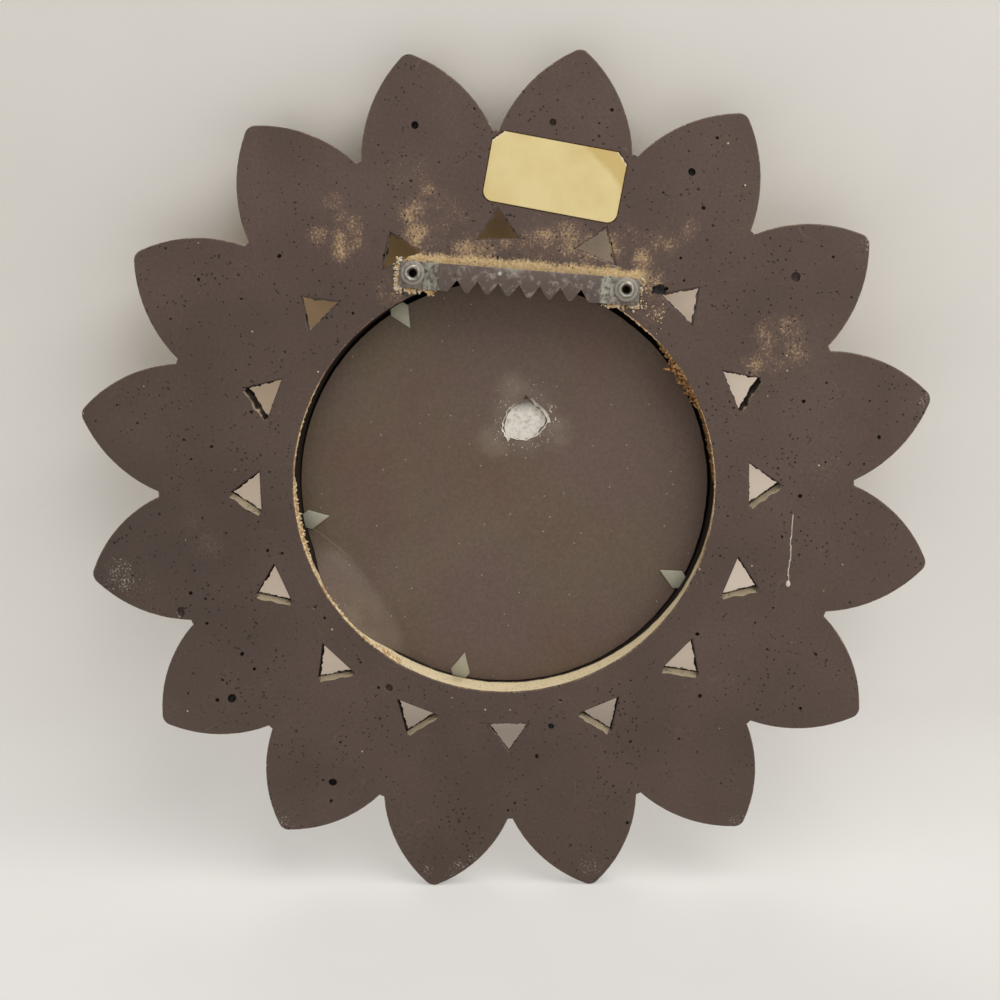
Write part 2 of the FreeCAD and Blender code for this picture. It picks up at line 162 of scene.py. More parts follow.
class StageSettings(PropertyGroup):
    lens: number("Lens", "Focal length on a 36 mm sensor", 49.43, unit="CAMERA")
    paper: colour("Floor", "Seamless studio paper", "#EAE7E2")
    tint: colour("Tint", "Gilt light on the paper just behind the mirror", "#FFF1E4")
    glow: number("Glow", "Share of the floor's own light in what the camera sees", 0.55, max=1, subtype="FACTOR")
    high_glow: number("Glow, high", "The same share high on the backdrop", 0.0, max=1, subtype="FACTOR")
    level: number("Paper level", "Strength of that light", 0.9)
    air: number("Air", "Strength of the world as camera and metal see it", 0.72)
    sky: number("Soft light", "Strength of the light from all round", 0.335)
    key: number("Key", "Lamp above the back", 7.3, unit="POWER")
    fill: number("Fill", "Lamp above the front", 9.0, unit="POWER")


# Nodes and meshes

def add_node(tree, kind, *sources, out=0, **settings):
    """Adds a node, makes its settings, and links or fills its sockets, in order or by name. Gives one output."""
    node = tree.nodes.new("ShaderNode" + kind)
    for name, value in settings.items():
        if name not in node.inputs:
            setattr(node, name, value)
    sockets = list(zip((socket for socket in node.inputs if socket.enabled), sources))
    sockets += [(node.inputs[name], value) for name, value in settings.items() if name in node.inputs]
    for socket, source in sockets:
        if isinstance(source, bpy.types.NodeSocket):
            tree.links.new(source, socket)
        else:
            socket.default_value = source
    shown = [socket for socket in node.outputs if socket.enabled]
    return node.outputs[out] if isinstance(out, str) else shown[out] if shown else None


def per_mm(size):
    """Scale of a pattern whose features are so many millimetres across."""
    return 1 / (size * MM)


def start_material(name):
    """Empty node material, the adder of its nodes, and its Object coordinates."""
    material = bpy.data.materials.new(name)
    material.use_nodes = True
    material.node_tree.nodes.clear()
    add = partial(add_node, material.node_tree)
    return material, add, add("TexCoord", out="Object")


def finish_material(add, surface, relief=None):
    """Ends a material in its surface, with a relief given by its height, strength and depth in millimetres."""
    if relief:
        height, strength, depth = relief
        surface["Normal"] = add("Bump", Height=height, Strength=strength, Distance=depth * MM)
    add("OutputMaterial", Surface=add("BsdfPrincipled", **surface))


def spread(add, place, spots, level=0.0):
    """Strongest of several soft round patches on a face at a level, each an x and z in millimetres, a radius and a
    strength."""
    total = None
    for x, z, radius, strength in spots:
        away = add("VectorMath", place, (x * MM, level * MM, z * MM), operation="DISTANCE")
        patch = add("MapRange", away, 0.0, radius * MM, strength, 0.0, interpolation_type="SMOOTHSTEP")
        total = patch if total is None else add("Math", total, patch, operation="MAXIMUM")
    return total


def layered(add, ground, *coats):
    """Colour of a ground under several coats, each given by its share and its colour, from the lowest up."""
    for share, coat in coats:
        ground = add("Mix", share, ground, coat, data_type="RGBA")
    return ground


def local_place(add, place, x, z, turn):
    """Coordinates in a frame set at x and z in millimetres, turned so many degrees in the plane of the back."""
    return add("Mapping", place, (x * MM, 0, z * MM), (0, -math.radians(turn), 0), vector_type="TEXTURE")


def moved(x, y, z):
    """Matrix that moves by so many millimetres."""
    return Matrix.Translation((x * MM, y * MM, z * MM))


def merged_copy(node):
    """A CAD node's mesh with its loose triangles joined and its flat faces made whole."""
    bm = bmesh.new()
    bm.from_mesh(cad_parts[node].data)
    bmesh.ops.remove_doubles(bm, verts=bm.verts, dist=WELD)
    bmesh.ops.dissolve_limit(bm, angle_limit=math.radians(0.2), verts=bm.verts, edges=bm.edges)
    return bm


def round_edges(bm, width, keep):
    """Bevels the sharp outer edges for which keep is true, and gives the faces that this makes."""
    sharp = math.radians(40)
    edges = [e for e in bm.edges if e.is_manifold and e.is_convex and e.calc_face_angle() > sharp and keep(e)]
    return bmesh.ops.bevel(bm, geom=edges, offset=width, offset_type="OFFSET", affect="EDGES", segments=2,
                           profile=0.5, clamp_overlap=True, material=-1)["faces"]


def new_object(name, bm, materials):
    mesh = bpy.data.meshes.new(name)
    bm.to_mesh(mesh)
    bm.free()
    for material in materials:
        mesh.materials.append(material)
    item = bpy.data.objects.new(name, mesh)
    bpy.context.scene.collection.objects.link(item)
    return item


def verts_of(made):
    """Vertices among the parts that an operation made."""
    return [item for item in made if isinstance(item, bmesh.types.BMVert)]


def thicken(bm, faces, thickness):
    """Gives an open skin a thickness towards the front, and closes it."""
    front = verts_of(bmesh.ops.extrude_face_region(bm, geom=faces)["geom"])
    bmesh.ops.translate(bm, verts=front, vec=(0, -thickness, 0))
    skin = {face for vert in front for face in vert.link_faces} | set(faces)
    bmesh.ops.recalc_face_normals(bm, faces=list(skin))


def smooth_by_angle(item, degrees):
    item.data.polygons.foreach_set("use_smooth", [True] * len(item.data.polygons))
    item.data.set_sharp_from_angle(angle=math.radians(degrees))


def hand_over(piece, slot, *nodes):
    """Sets a finished piece on the part, in place of the CAD nodes that it stands for."""
    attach(piece, "root")
    if nodes:
        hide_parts(*nodes)


def set_piece(name, bm, materials, angle, slot, *nodes):
    """Makes a piece from its mesh, smooths it up to an angle, and hands it over."""
    piece = new_object(name, bm, materials)
    smooth_by_angle(piece, angle)
    hand_over(piece, slot, *nodes)


def tattered(spot, wave, stray):
    """Sideways stray of a torn edge, in waves of a size in millimetres. Its seed makes it the same in every run."""
    noise.seed_set(TORN_SEED)
    drift = noise.noise_vector(spot * per_mm(wave))
    return Vector((drift.x, 0, drift.z)) * stray * MM


def carve(piece, cutter):
    """Cuts an object, whose parts may overlap, out of another for good, with its materials on the cut faces."""
    cut = piece.modifiers.new("carve", "BOOLEAN")
    cut.operation = "DIFFERENCE"
    cut.solver = "EXACT"
    cut.use_self = True
    cut.material_mode = "TRANSFER"
    cut.object = cutter
    graph = bpy.context.evaluated_depsgraph_get()
    before = len(piece.data.polygons)
    mesh = bpy.data.meshes.new_from_object(piece.evaluated_get(graph))
    piece.modifiers.clear()
    piece.data = mesh
    bpy.data.objects.remove(cutter)
    if len(mesh.polygons) <= before:
        raise RuntimeError(f"nothing was carved out of {piece.name}")


# Places on the part, in millimetres

PETALS = 16
RING_RADIUS = 64.0
REBATE_RADIUS = 56.0
HANGER_PLACE = (-5.33, 54.31, 5.6)      # middle of the hanger and its turn in degrees
HANGER_TOP = 3.0                        # upper edge of the strip, from that middle
HANGER_HALF = 31.2
RIVETS = ((22.24, 57.02), (-32.89, 51.61))
TAB_START = 20.9                        # where the strip comes down to its tabs
LABEL_PLACE = (-14.9, 80.5, 11.7)
CARD_BACK = -10.0
CARD_DROP = -0.65                       # the card has slid down in the rebate
CARD_SLIDE = 0.42                       # and its edge reaches nearer the wall on one side

# Worn places on the back: x, z, radius and strength
WORN = (
    (42.5, 75.0, 5, 0.85), (40.6, 72.2, 4, 0.75), (37.4, 68.6, 6, 0.95), (39.4, 64.8, 8, 1.1), (46.0, 67.0, 6, 0.7),
    (34.9, 63.7, 5, 0.5), (22.0, 81.5, 10, 0.5), (18.4, 77.6, 6, 0.7), (21.5, 73.0, 8, 0.95), (20.3, 66.6, 8, 1.05),
    (14.0, 73.0, 8, 0.55), (12.5, 68.0, 12, 0.5), (9.0, 62.7, 7, 0.9), (3.0, 63.5, 7, 0.9), (-2.5, 64.0, 7, 0.75),
    (-11.0, 64.5, 10, 0.9), (-18.5, 64.5, 9, 1.0), (-24.0, 61.5, 9, 0.95), (-31.5, 63.0, 9, 0.95),
    (-36.0, 58.5, 8, 1.0), (-38.8, 53.5, 8, 0.9), (-39.3, 47.0, 7, 0.75), (-42.0, 63.5, 10, 0.6),
    (-49.3, 66.4, 8, 0.5), (-72.6, 37.8, 12, 0.85), (-66.5, 30.5, 9, 0.7), (-78.0, 33.0, 8, 0.6),
    (28.5, 52.0, 7, 0.7),
)
WORN_TIPS = (
    (-94.7, 62.1, 4, 0.9), (-110.3, 21.6, 4, 0.8), (64.1, -94.0, 8, 1.0), (-62.4, -94.7, 6, 0.9),
    (14.2, -105.5, 4, 0.9), (22.5, -107.0, 5, 0.6), (17.0, -108.5, 5, 0.6), (10.5, -103.5, 3.5, 0.7),
    (-21.9, -106.1, 6, 0.8), (104.3, -22.0, 9, 0.9),
    (98.0, -25.5, 6, 0.7), (21.3, 111.0, 4, 0.5), (63.0, 94.0, 4, 0.4), (-78.0, -78.0, 5, 0.5),
)
SHADED = ((102.0, -8.0, 78, 0.24),)     # painted shade: the left petals darker, where the light falls off
SMUDGES = ((79.3, -14.1, 6, 0.8), (84.0, -8.0, 4, 0.5), (-84.0, 4.0, 7, 0.35), (30.0, -96.0, 9, 0.3))

# Large open voids: x, z and radius, dark or with broken resin in them
DARK_VOIDS = ((20.6, 94.2, 1.1), (75.6, -56.9, 1.3), (48.8, -81.3, 1.2), (-11.7, -65.8, 1.0), (-49.8, 80.9, 1.0),
              (-41.0, 51.4, 1.2), (-42.3, 50.9, 1.0), (-42.2, 52.1, 0.8), (-40.0, 51.9, 0.6), (-43.3, 51.6, 0.6),
              (-41.5, 52.6, 0.5), (-39.7, 50.8, 0.5), (29.3, 60.6, 0.8), (29.5, 61.6, 0.6))
PALE_VOIDS = ((-14.6, 94.1, 1.2), (-76.5, 53.9, 1.3), (88.3, -32.5, 1.4), (32.3, -54.5, 1.2))


# The casting

def painted_resin(look, name, rub):
    """Brown oil paint brushed over cast foamed resin: a dull even skin with pinholes, rubbed off in places, with
    painted shade in the pinholes and on the left petals.
    """
    material, add, place = start_material(name)
    cloud = add("TexNoise", place, per_mm(30), 3.0)
    grain = add("TexNoise", place, per_mm(0.9), 4.0, 0.7)
    dirt = add("Math", cloud, grain, operation="MULTIPLY")
    shade = add("MapRange", dirt, 0.14, 0.36)

    # faint curved scuffs, hair-thin and broken up
    bent = add("TexNoise", place, per_mm(16), 2.0, out="Color")
    warped = add("Mix", 0.02, place, bent, data_type="RGBA", blend_type="ADD")
    cells = add("TexVoronoi", warped, per_mm(17), feature="DISTANCE_TO_EDGE")
    hair = add("MapRange", cells, 0.0, 0.012, 1.0, 0.0)
    breaks = add("TexNoise", place, per_mm(7), 2.0)
    broken = add("MapRange", breaks, 0.56, 0.66, 0.0, 0.4)
    scuff = add("Math", hair, broken, operation="MULTIPLY")
    smudge = spread(add, place, SMUDGES)
    dust = add("MapRange", grain, 0.42, 0.62, 0.0, 0.8)
    smeared = add("Math", smudge, dust, operation="MULTIPLY")
    rubbed = add("Math", scuff, smeared, operation="MAXIMUM")
    # painted shade on the left petals, laid on in the darkest shade colour
    grime_and_shade = spread(add, place, SHADED)

    # paint rubbed away in fine grains, down to the resin, in soft uneven patches
    mottle = add("TexNoise", place, per_mm(5), 4.0)
    uneven = add("MapRange", mottle, 0.36, 0.64, 0.3, 1.2)
    grit = add("TexNoise", place, per_mm(0.62), 2.5, 0.6)
    patch = add("Math", spread(add, place, WORN), rub, operation="MAXIMUM")
    patch = add("Math", patch, uneven, operation="MULTIPLY")
    worn = add("Math", patch, 0.36, grit, operation="MULTIPLY_ADD")
    worn = add("MapRange", worn, 0.69, 0.95, 0.0, 0.6)
    tip = add("Math", spread(add, place, WORN_TIPS), uneven, operation="MULTIPLY")
    tips = add("Math", tip, 0.32, grit, operation="MULTIPLY_ADD")
    tips = add("MapRange", tips, 0.7, 0.86, 0.0, 0.52)

    # bare strip along the upper edge of the hanger, with a ragged border
    strip = local_place(add, place, *HANGER_PLACE)
    height = add("SeparateXYZ", strip, out="Z")
    along = add("SeparateXYZ", strip, out="X")
    reach = add("Math", along, operation="ABSOLUTE")
    inside = add("MapRange", reach, (HANGER_HALF - 1) * MM, (HANGER_HALF + 2.5) * MM, 1.0, 0.0)
    ragged = add("Math", mottle, -3.0 * MM, height, operation="MULTIPLY_ADD")
    ragged = add("Math", grit, -4.0 * MM, ragged, operation="MULTIPLY_ADD")
    top = add("MapRange", ragged, (HANGER_TOP - 1.8) * MM, (HANGER_TOP - 0.6) * MM, 1.0, 0.0)
    above = add("MapRange", height, (HANGER_TOP - 1.5) * MM, (HANGER_TOP - 1.0) * MM)
    band = add("Math", top, above, operation="MULTIPLY")
    band = add("Math", band, inside, operation="MULTIPLY")

    gone = add("Math", worn, band, operation="MAXIMUM")
    tone = add("MapRange", grain, 0.42, 0.7)
    bare = add("Mix", tone, look.bare, look.bare_pale, data_type="RGBA")
    thin = add("Math", patch, grain, operation="MULTIPLY")
    thin = add("MapRange", thin, 0.1, 0.55, 0.0, 0.6)

    # white flecks, few and small
    flecks = add("TexVoronoi", place, per_mm(7))
    fleck = add("MapRange", flecks, 0.025, 0.04, 0.8, 0.0)

    # pinholes of two sizes, the fine ones in drifts, their insides painted dark as shade
    fine = add("TexVoronoi", place, per_mm(1.55))
    drift = add("TexNoise", place, per_mm(20), 3.0)
    size = add("MapRange", drift, 0.35, 0.65, 0.11, 0.22)
    pricked = add("Math", size, fine, operation="SUBTRACT")
    pricked = add("MapRange", pricked, 0.0, 0.05, 0.0, 0.95)
    coarse = add("TexVoronoi", place, per_mm(6.1))
    holed = add("MapRange", coarse, 0.05, 0.08, 0.95, 0.0)
    hole = add("Math", pricked, holed, operation="MAXIMUM")

    # the darkest shade colour paints the shade on the left petals and inside the pinholes
    skin = layered(add, look.paint_dark, (shade, look.paint), (rubbed, look.paint_pale), (grime_and_shade, look.darkest_shade),
                   (thin, look.thin_paint), (gone, bare), (tips, look.tip_chalk), (fleck, look.bare_pale),
                   (hole, look.darkest_shade))
    lost = add("Math", gone, tips, operation="MAXIMUM")
    rough = add("MapRange", lost, 0.0, 1.0, 0.5, 0.85)
    level = add("Math", grain, 0.35, 1.0, operation="MULTIPLY_ADD")
    level = add("Math", lost, -0.4, level, operation="MULTIPLY_ADD")
    level = add("Math", hole, -1.0, level, operation="MULTIPLY_ADD")
    finish_material(add, {"Base Color": skin, "Roughness": rough, "Specular IOR Level": 0.35}, (level, 0.6, 0.25))
    return material


def raw_resin(look):
    """Cut foamed resin, cream near the back edge and dark further in. Painted light from above: the cream reaches
    further in low in the rebate and on walls that face up, and the dark is paler on walls that face up. The dark
    further in is sooty dirt and painted shade.
    """
    material, add, place = start_material("raw_foamed_resin")
    cells = add("TexVoronoi", place, per_mm(1.1))
    cell = add("MapRange", cells, 0.1, 0.25, 0.7, 0.0)
    cloud = add("TexNoise", place, per_mm(4), 5.0, 0.65)
    depth = add("SeparateXYZ", place, out="Y")
    height = add("SeparateXYZ", place, out="Z")
    # painted light: the cream reaches further in where the wall is low in the rebate or faces up
    low = add("MapRange", height, 15 * MM, -54 * MM)
    low = add("Math", low, 1.4, operation="POWER")
    rebate = add("MapRange", low, 0.0, 1.0, 0.4 * MM, 8.6 * MM)
    facing = add("TexCoord", out="Normal")
    upward = add("SeparateXYZ", facing, out="Z")
    piercing = add("MapRange", upward, 0.55, 0.85, 0.2 * MM, 5.5 * MM)
    away = add("VectorMath", place, operation="LENGTH")
    outer = add("MapRange", away, 60 * MM, 62 * MM)
    clean = add("Mix", outer, rebate, piercing, data_type="FLOAT")
    ragged = add("Math", cloud, 2.4 * MM, depth, operation="MULTIPLY_ADD")
    ragged = add("Math", ragged, clean, operation="ADD")
    bare = add("MapRange", ragged, 0.7 * MM, 1.5 * MM)
    tone = add("Math", cloud, 0.6, low, operation="MULTIPLY_ADD")
    tone = add("Math", outer, 0.35, tone, operation="MULTIPLY_ADD")
    tone = add("MapRange", tone, 0.25, 0.8)
    dusty = add("Math", outer, 0.6, operation="MULTIPLY")
    body = layered(add, look.bare, (tone, look.bare_pale), (dusty, look.paint), (cell, look.paint))
    # painted light: in the dark depth, walls that face up are paler
    lit = add("MapRange", upward, 0.5, 0.9, 0.0, 0.8)
    lit = add("Math", lit, outer, operation="MULTIPLY")
    depth_shade = add("Mix", lit, look.soot_and_shade, look.paint_pale, data_type="RGBA")
    body = add("Mix", bare, depth_shade, body, data_type="RGBA")
    fleece = add("TexNoise", place, per_mm(0.6), 3.0)
    level = add("Math", cell, -1.0, fleece, operation="MULTIPLY_ADD")
    finish_material(add, {"Base Color": body, "Roughness": 0.9, "Specular IOR Level": 0.2}, (level, 0.7, 0.4))
    return material


def void_wall(name, shell, depth_shade):
    """Inside of a bubble in the resin: glossy where the skin burst, darkening inwards with painted shade."""
    material, add, place = start_material(name)
    depth = add("SeparateXYZ", place, out="Y")
    fade = add("MapRange", depth, -0.6 * MM, -0.05 * MM)
    mottle = add("TexNoise", place, per_mm(0.5), 3.0)
    mottled = add("Math", fade, mottle, operation="MULTIPLY")
    tone = add("MapRange", mottled, 0.1, 0.5)
    wall = add("Mix", tone, depth_shade, shell, data_type="RGBA")
    finish_material(add, {"Base Color": wall, "Roughness": 0.6}, (mottle, 0.5, 0.2))
    return material


def gilt_relief(look):
    """Bronze powder over the moulded front, toned brown in the valleys and rubbed back on the high places."""
    material, add, place = start_material("toned_bronze_gilt")
    depth = add("SeparateXYZ", place, out="Y")
    cloud = add("TexNoise", place, per_mm(9), 5.0, 0.65)
    sway = add("Math", cloud, 7 * MM, depth, operation="MULTIPLY_ADD")
    high = add("MapRange", sway, -4.0 * MM, -8.0 * MM, interpolation_type="SMOOTHSTEP")
    powder = add("TexNoise", place, per_mm(0.5), 3.0)
    rubbed = add("MapRange", powder, 0.35, 0.6, 0.55)
    cover = add("Math", high, rubbed, operation="MULTIPLY")
    cover = add("MapRange", cover, 0.0, 1.0, 0.28)
    tone = add("Mix", cover, look.gilt_deep, look.gilt, data_type="RGBA")
    rough = add("MapRange", cover, 0.0, 1.0, 0.75, 0.36)
    metal = add("MapRange", cover, 0.0, 1.0, 0.2, 0.9)
    finish_material(add, {"Base Color": tone, "Metallic": metal, "Roughness": rough}, (powder, 0.25, 0.15))
    return material


def casting_skin(face):
    """Which of the casting's materials a face wears: 0 painted back, 1 raw resin, 2 gilt front."""
    middle = face.calc_center_median() / MM
    reach = math.hypot(middle.x, middle.z)
    if face.normal.y > 0.6 and middle.y > -1.0:
        return 0
    if reach < REBATE_RADIUS + 4.5 and middle.y > LIP_LEVEL:
        return 1
    is_wall = abs(face.normal.y) < 0.3 or middle.y > FLASH_LEVEL
    in_piercing = RING_RADIUS + 0.5 < reach < PIERCING_END and is_wall
    return 1 if in_piercing else 2


LIP_LEVEL, FLASH_LEVEL = -14.6, -7.0        # lowest level of the rebate's raw wall and of the flash
PIERCING_BASE, PIERCING_WIDTH, PIERCING_LENGTH = RING_RADIUS + 1.0, 11.6, 8.2
PIERCING_END = 74.0
FLASH_DROP = 1.9                            # the flash lies lower where the edge is broken
FLASH_THICKNESS = 0.4
FLASH = ((-0.25, 0.32, 0.5, 0.8), (-0.9, 0.25, 0.7, 2.4))   # level, inset, stray and wave of each skin
PIT_RING = (59, 110)                        # radii between which the small voids lie
PIT_RADIUS, PIT_SPREAD = 0.25, 0.45         # the smallest of them, and how much larger they get
PALE_PITS = 0.05                            # share of them with broken resin inside
FLAT_BACK = 0.999                           # faces that look straight back are shaded flat
# Level of each ring of the draft in a piercing, and how many times the piercing's own size it is there
PIERCING_DRAFT = ((-2.4, 0.97), (-8.0, 1.45), (-21.0, 1.45))
# Piercings whose lower edge is broken to a slope, counted from the top, and the slope's width and depth
BROKEN_PIERCINGS = (3, 4, 5, 6, 7, 9, 10, 11, 12, 13)
SLOPE_WIDTH, SLOPE_DEPTH = 0.95, 2.0


def piercing_turn(index):
    return Matrix.Rotation(math.radians(360 / PETALS * index), 4, "Y")


def add_prism(bm, turn, sections, skin):
    """Closed prism through sections of three corners in millimetres, turned into place."""
    rings = [[bm.verts.new(turn @ Vector(corner) * MM) for corner in section] for section in sections]
    faces = [bm.faces.new(rings[0]), bm.faces.new(reversed(rings[-1]))]
    for upper, lower in zip(rings, rings[1:]):
        for near, far in ((0, 1), (1, 2), (2, 0)):
            faces.append(bm.faces.new((upper[near], lower[near], lower[far], upper[far])))
    bmesh.ops.recalc_face_normals(bm, faces=faces)
    for face in faces:
        face.material_index = skin


def add_draft(bm, skin):
    """Tapering prisms that widen the piercings towards the front, away from the ring."""
    base = PIERCING_BASE + 0.05
    for index in range(PETALS):
        sections = []
        for level, size in PIERCING_DRAFT:
            half = PIERCING_WIDTH / 2 * size
            sections.append(((-half, level, base), (half, level, base), (0, level, base + PIERCING_LENGTH * size)))
        add_prism(bm, piercing_turn(index), sections, skin)


def add_slopes(bm, skin):
    """Wedges that break the edge of the lower wall of some piercings."""
    tip = Vector((0, 0, PIERCING_BASE + PIERCING_LENGTH))
    for index in BROKEN_PIERCINGS:
        turn = piercing_turn(index)
        ways = [Vector((side * PIERCING_LENGTH, 0, PIERCING_WIDTH / 2)).normalized() for side in (-1, 1)]
        out = min(ways, key=lambda way: (turn @ way).z)
        foot = Vector((math.copysign(PIERCING_WIDTH / 2, out.x), 0, PIERCING_BASE))
        sections = []
        for step in range(13):
            spot = foot.lerp(tip, 0.03 + 0.92 * step / 12)
            width = SLOPE_WIDTH * (1 + 0.5 * noise.noise(turn @ spot * 0.45))
            sections.append((spot + out * 1.1 * width + Vector((0, 0.2, 0)), spot - out * 0.3 + Vector((0, 0.2, 0)),
                             spot - out * 0.3 - Vector((0, 1.25 * SLOPE_DEPTH, 0))))
        add_prism(bm, turn, sections, skin)


def add_flash(bm, dice, level, inset, stray, wave):
    """Ragged skin of resin left in each piercing at one level, all in millimetres."""
    base, width, height = PIERCING_BASE, PIERCING_WIDTH, PIERCING_LENGTH
    side, rise = math.sqrt(3), 1.5
    for index in range(PETALS):
        ring = bmesh.ops.create_circle(bm, cap_ends=True, segments=3, radius=1.0)["verts"]
        stretch = Matrix.Diagonal((1.02 * width / side * MM, 1.02 * height / rise * MM, 1, 1))
        lift = moved(0, base + height / 3, 0)
        tip = Matrix.Rotation(math.radians(90), 4, "X")
        below = FLASH_DROP if index in BROKEN_PIERCINGS else 0.0
        sink = moved(0, level - below - dice.uniform(0, 0.3), 0)
        turn = piercing_turn(index)
        bmesh.ops.transform(bm, matrix=turn @ sink @ tip @ lift @ stretch, verts=ring)
        face = ring[0].link_faces[0]
        middle = face.calc_center_median()
        bmesh.ops.subdivide_edges(bm, edges=face.edges[:], cuts=23)
        edge = bmesh.ops.inset_individual(bm, faces=[face], thickness=inset * MM)["faces"]
        for vert in face.verts:
            drift = noise.noise(vert.co * per_mm(wave)) + 0.6 * noise.noise(vert.co * per_mm(0.4 * wave))
            vert.co += (middle - vert.co).normalized() * stray * drift * MM
        bmesh.ops.delete(bm, geom=[face], context="FACES_ONLY")
        thicken(bm, edge, FLASH_THICKNESS * MM)


class MIRROR_OT_casting(Operator):
    """Paints, pits and wears the casting"""
    bl_idname = "mirror.casting"
    bl_label = "Casting"

    def execute(self, context):
        look = context.scene.mirror_casting
        dice = random.Random(16)
        bm = merged_copy("petal_frame")
        edges = round_edges(bm, look.edge_round, lambda edge: min(v.co.y for v in edge.verts) > -0.2 * MM)
        for face in bm.faces:
            face.material_index = casting_skin(face)
        for face in edges:
            middle = face.calc_center_median()
            in_piercing = RING_RADIUS < math.hypot(middle.x, middle.z) / MM < PIERCING_END + 2
            face.material_index = 0 if in_piercing else 3
        skins = [painted_resin(look, "painted_foamed_resin", 0.0), raw_resin(look), gilt_relief(look),
                 painted_resin(look, "rubbed_edge", 0.62)]
        piece = new_object("petal_casting", bm, skins)

        # the voids darken inwards with painted shade: to the darkest shade colour in the open ones, to dark paint
        # in the broken ones
        dark = void_wall("open_void", look.soot_and_shade, look.darkest_shade)
        pale = void_wall("broken_void", look.bare_pale, look.paint_dark)
        bm = bmesh.new()
        voids = [(x, z, radius, 0) for x, z, radius in DARK_VOIDS]
        voids += [(x, z, radius, 1) for x, z, radius in PALE_VOIDS]
        for _ in range(look.pit_count):
            turn = dice.uniform(0, math.tau)
            reach = math.sqrt(dice.uniform(PIT_RING[0] ** 2, PIT_RING[1] ** 2))
            kind = 1 if dice.random() < PALE_PITS else 0
            radius = PIT_RADIUS + PIT_SPREAD * dice.random() ** 2
            voids.append((reach * math.sin(turn), reach * math.cos(turn), radius, kind))
        for x, z, radius, kind in voids:
            detail = 2 if radius > 0.9 else 1
            centre = moved(x, -0.25 * radius, z)
            swell = Matrix.Diagonal((dice.uniform(0.8, 1.2), dice.uniform(0.8, 1.3), dice.uniform(0.8, 1.2), 1))
            turn = Euler((0, dice.uniform(0, math.tau), 0)).to_matrix().to_4x4()
            ball = bmesh.ops.create_icosphere(bm, subdivisions=detail, radius=radius * MM,
                                              matrix=centre @ turn @ swell)["verts"]
            for face in {face for vert in ball for face in vert.link_faces}:
                face.material_index = kind
        add_draft(bm, 2)
        add_slopes(bm, 3)
        carve(piece, new_object("casting_voids", bm, [dark, pale, skins[2], skins[1]]))

        bm = bmesh.new()
        bm.from_mesh(piece.data)
        whole = len(bm.faces)
        for skin in FLASH:
            add_flash(bm, dice, *skin)
        bm.faces.ensure_lookup_table()
        bm.normal_update()
        for face in bm.faces[whole:]:
            face.material_index = casting_skin(face)
        bm.to_mesh(piece.data)
        bm.free()
        smooth_by_angle(piece, 30)
        for face in piece.data.polygons:
            face.use_smooth = face.normal.y < FLAT_BACK
        hand_over(piece, "casting", "petal_frame")
        return {"FINISHED"}


# The card

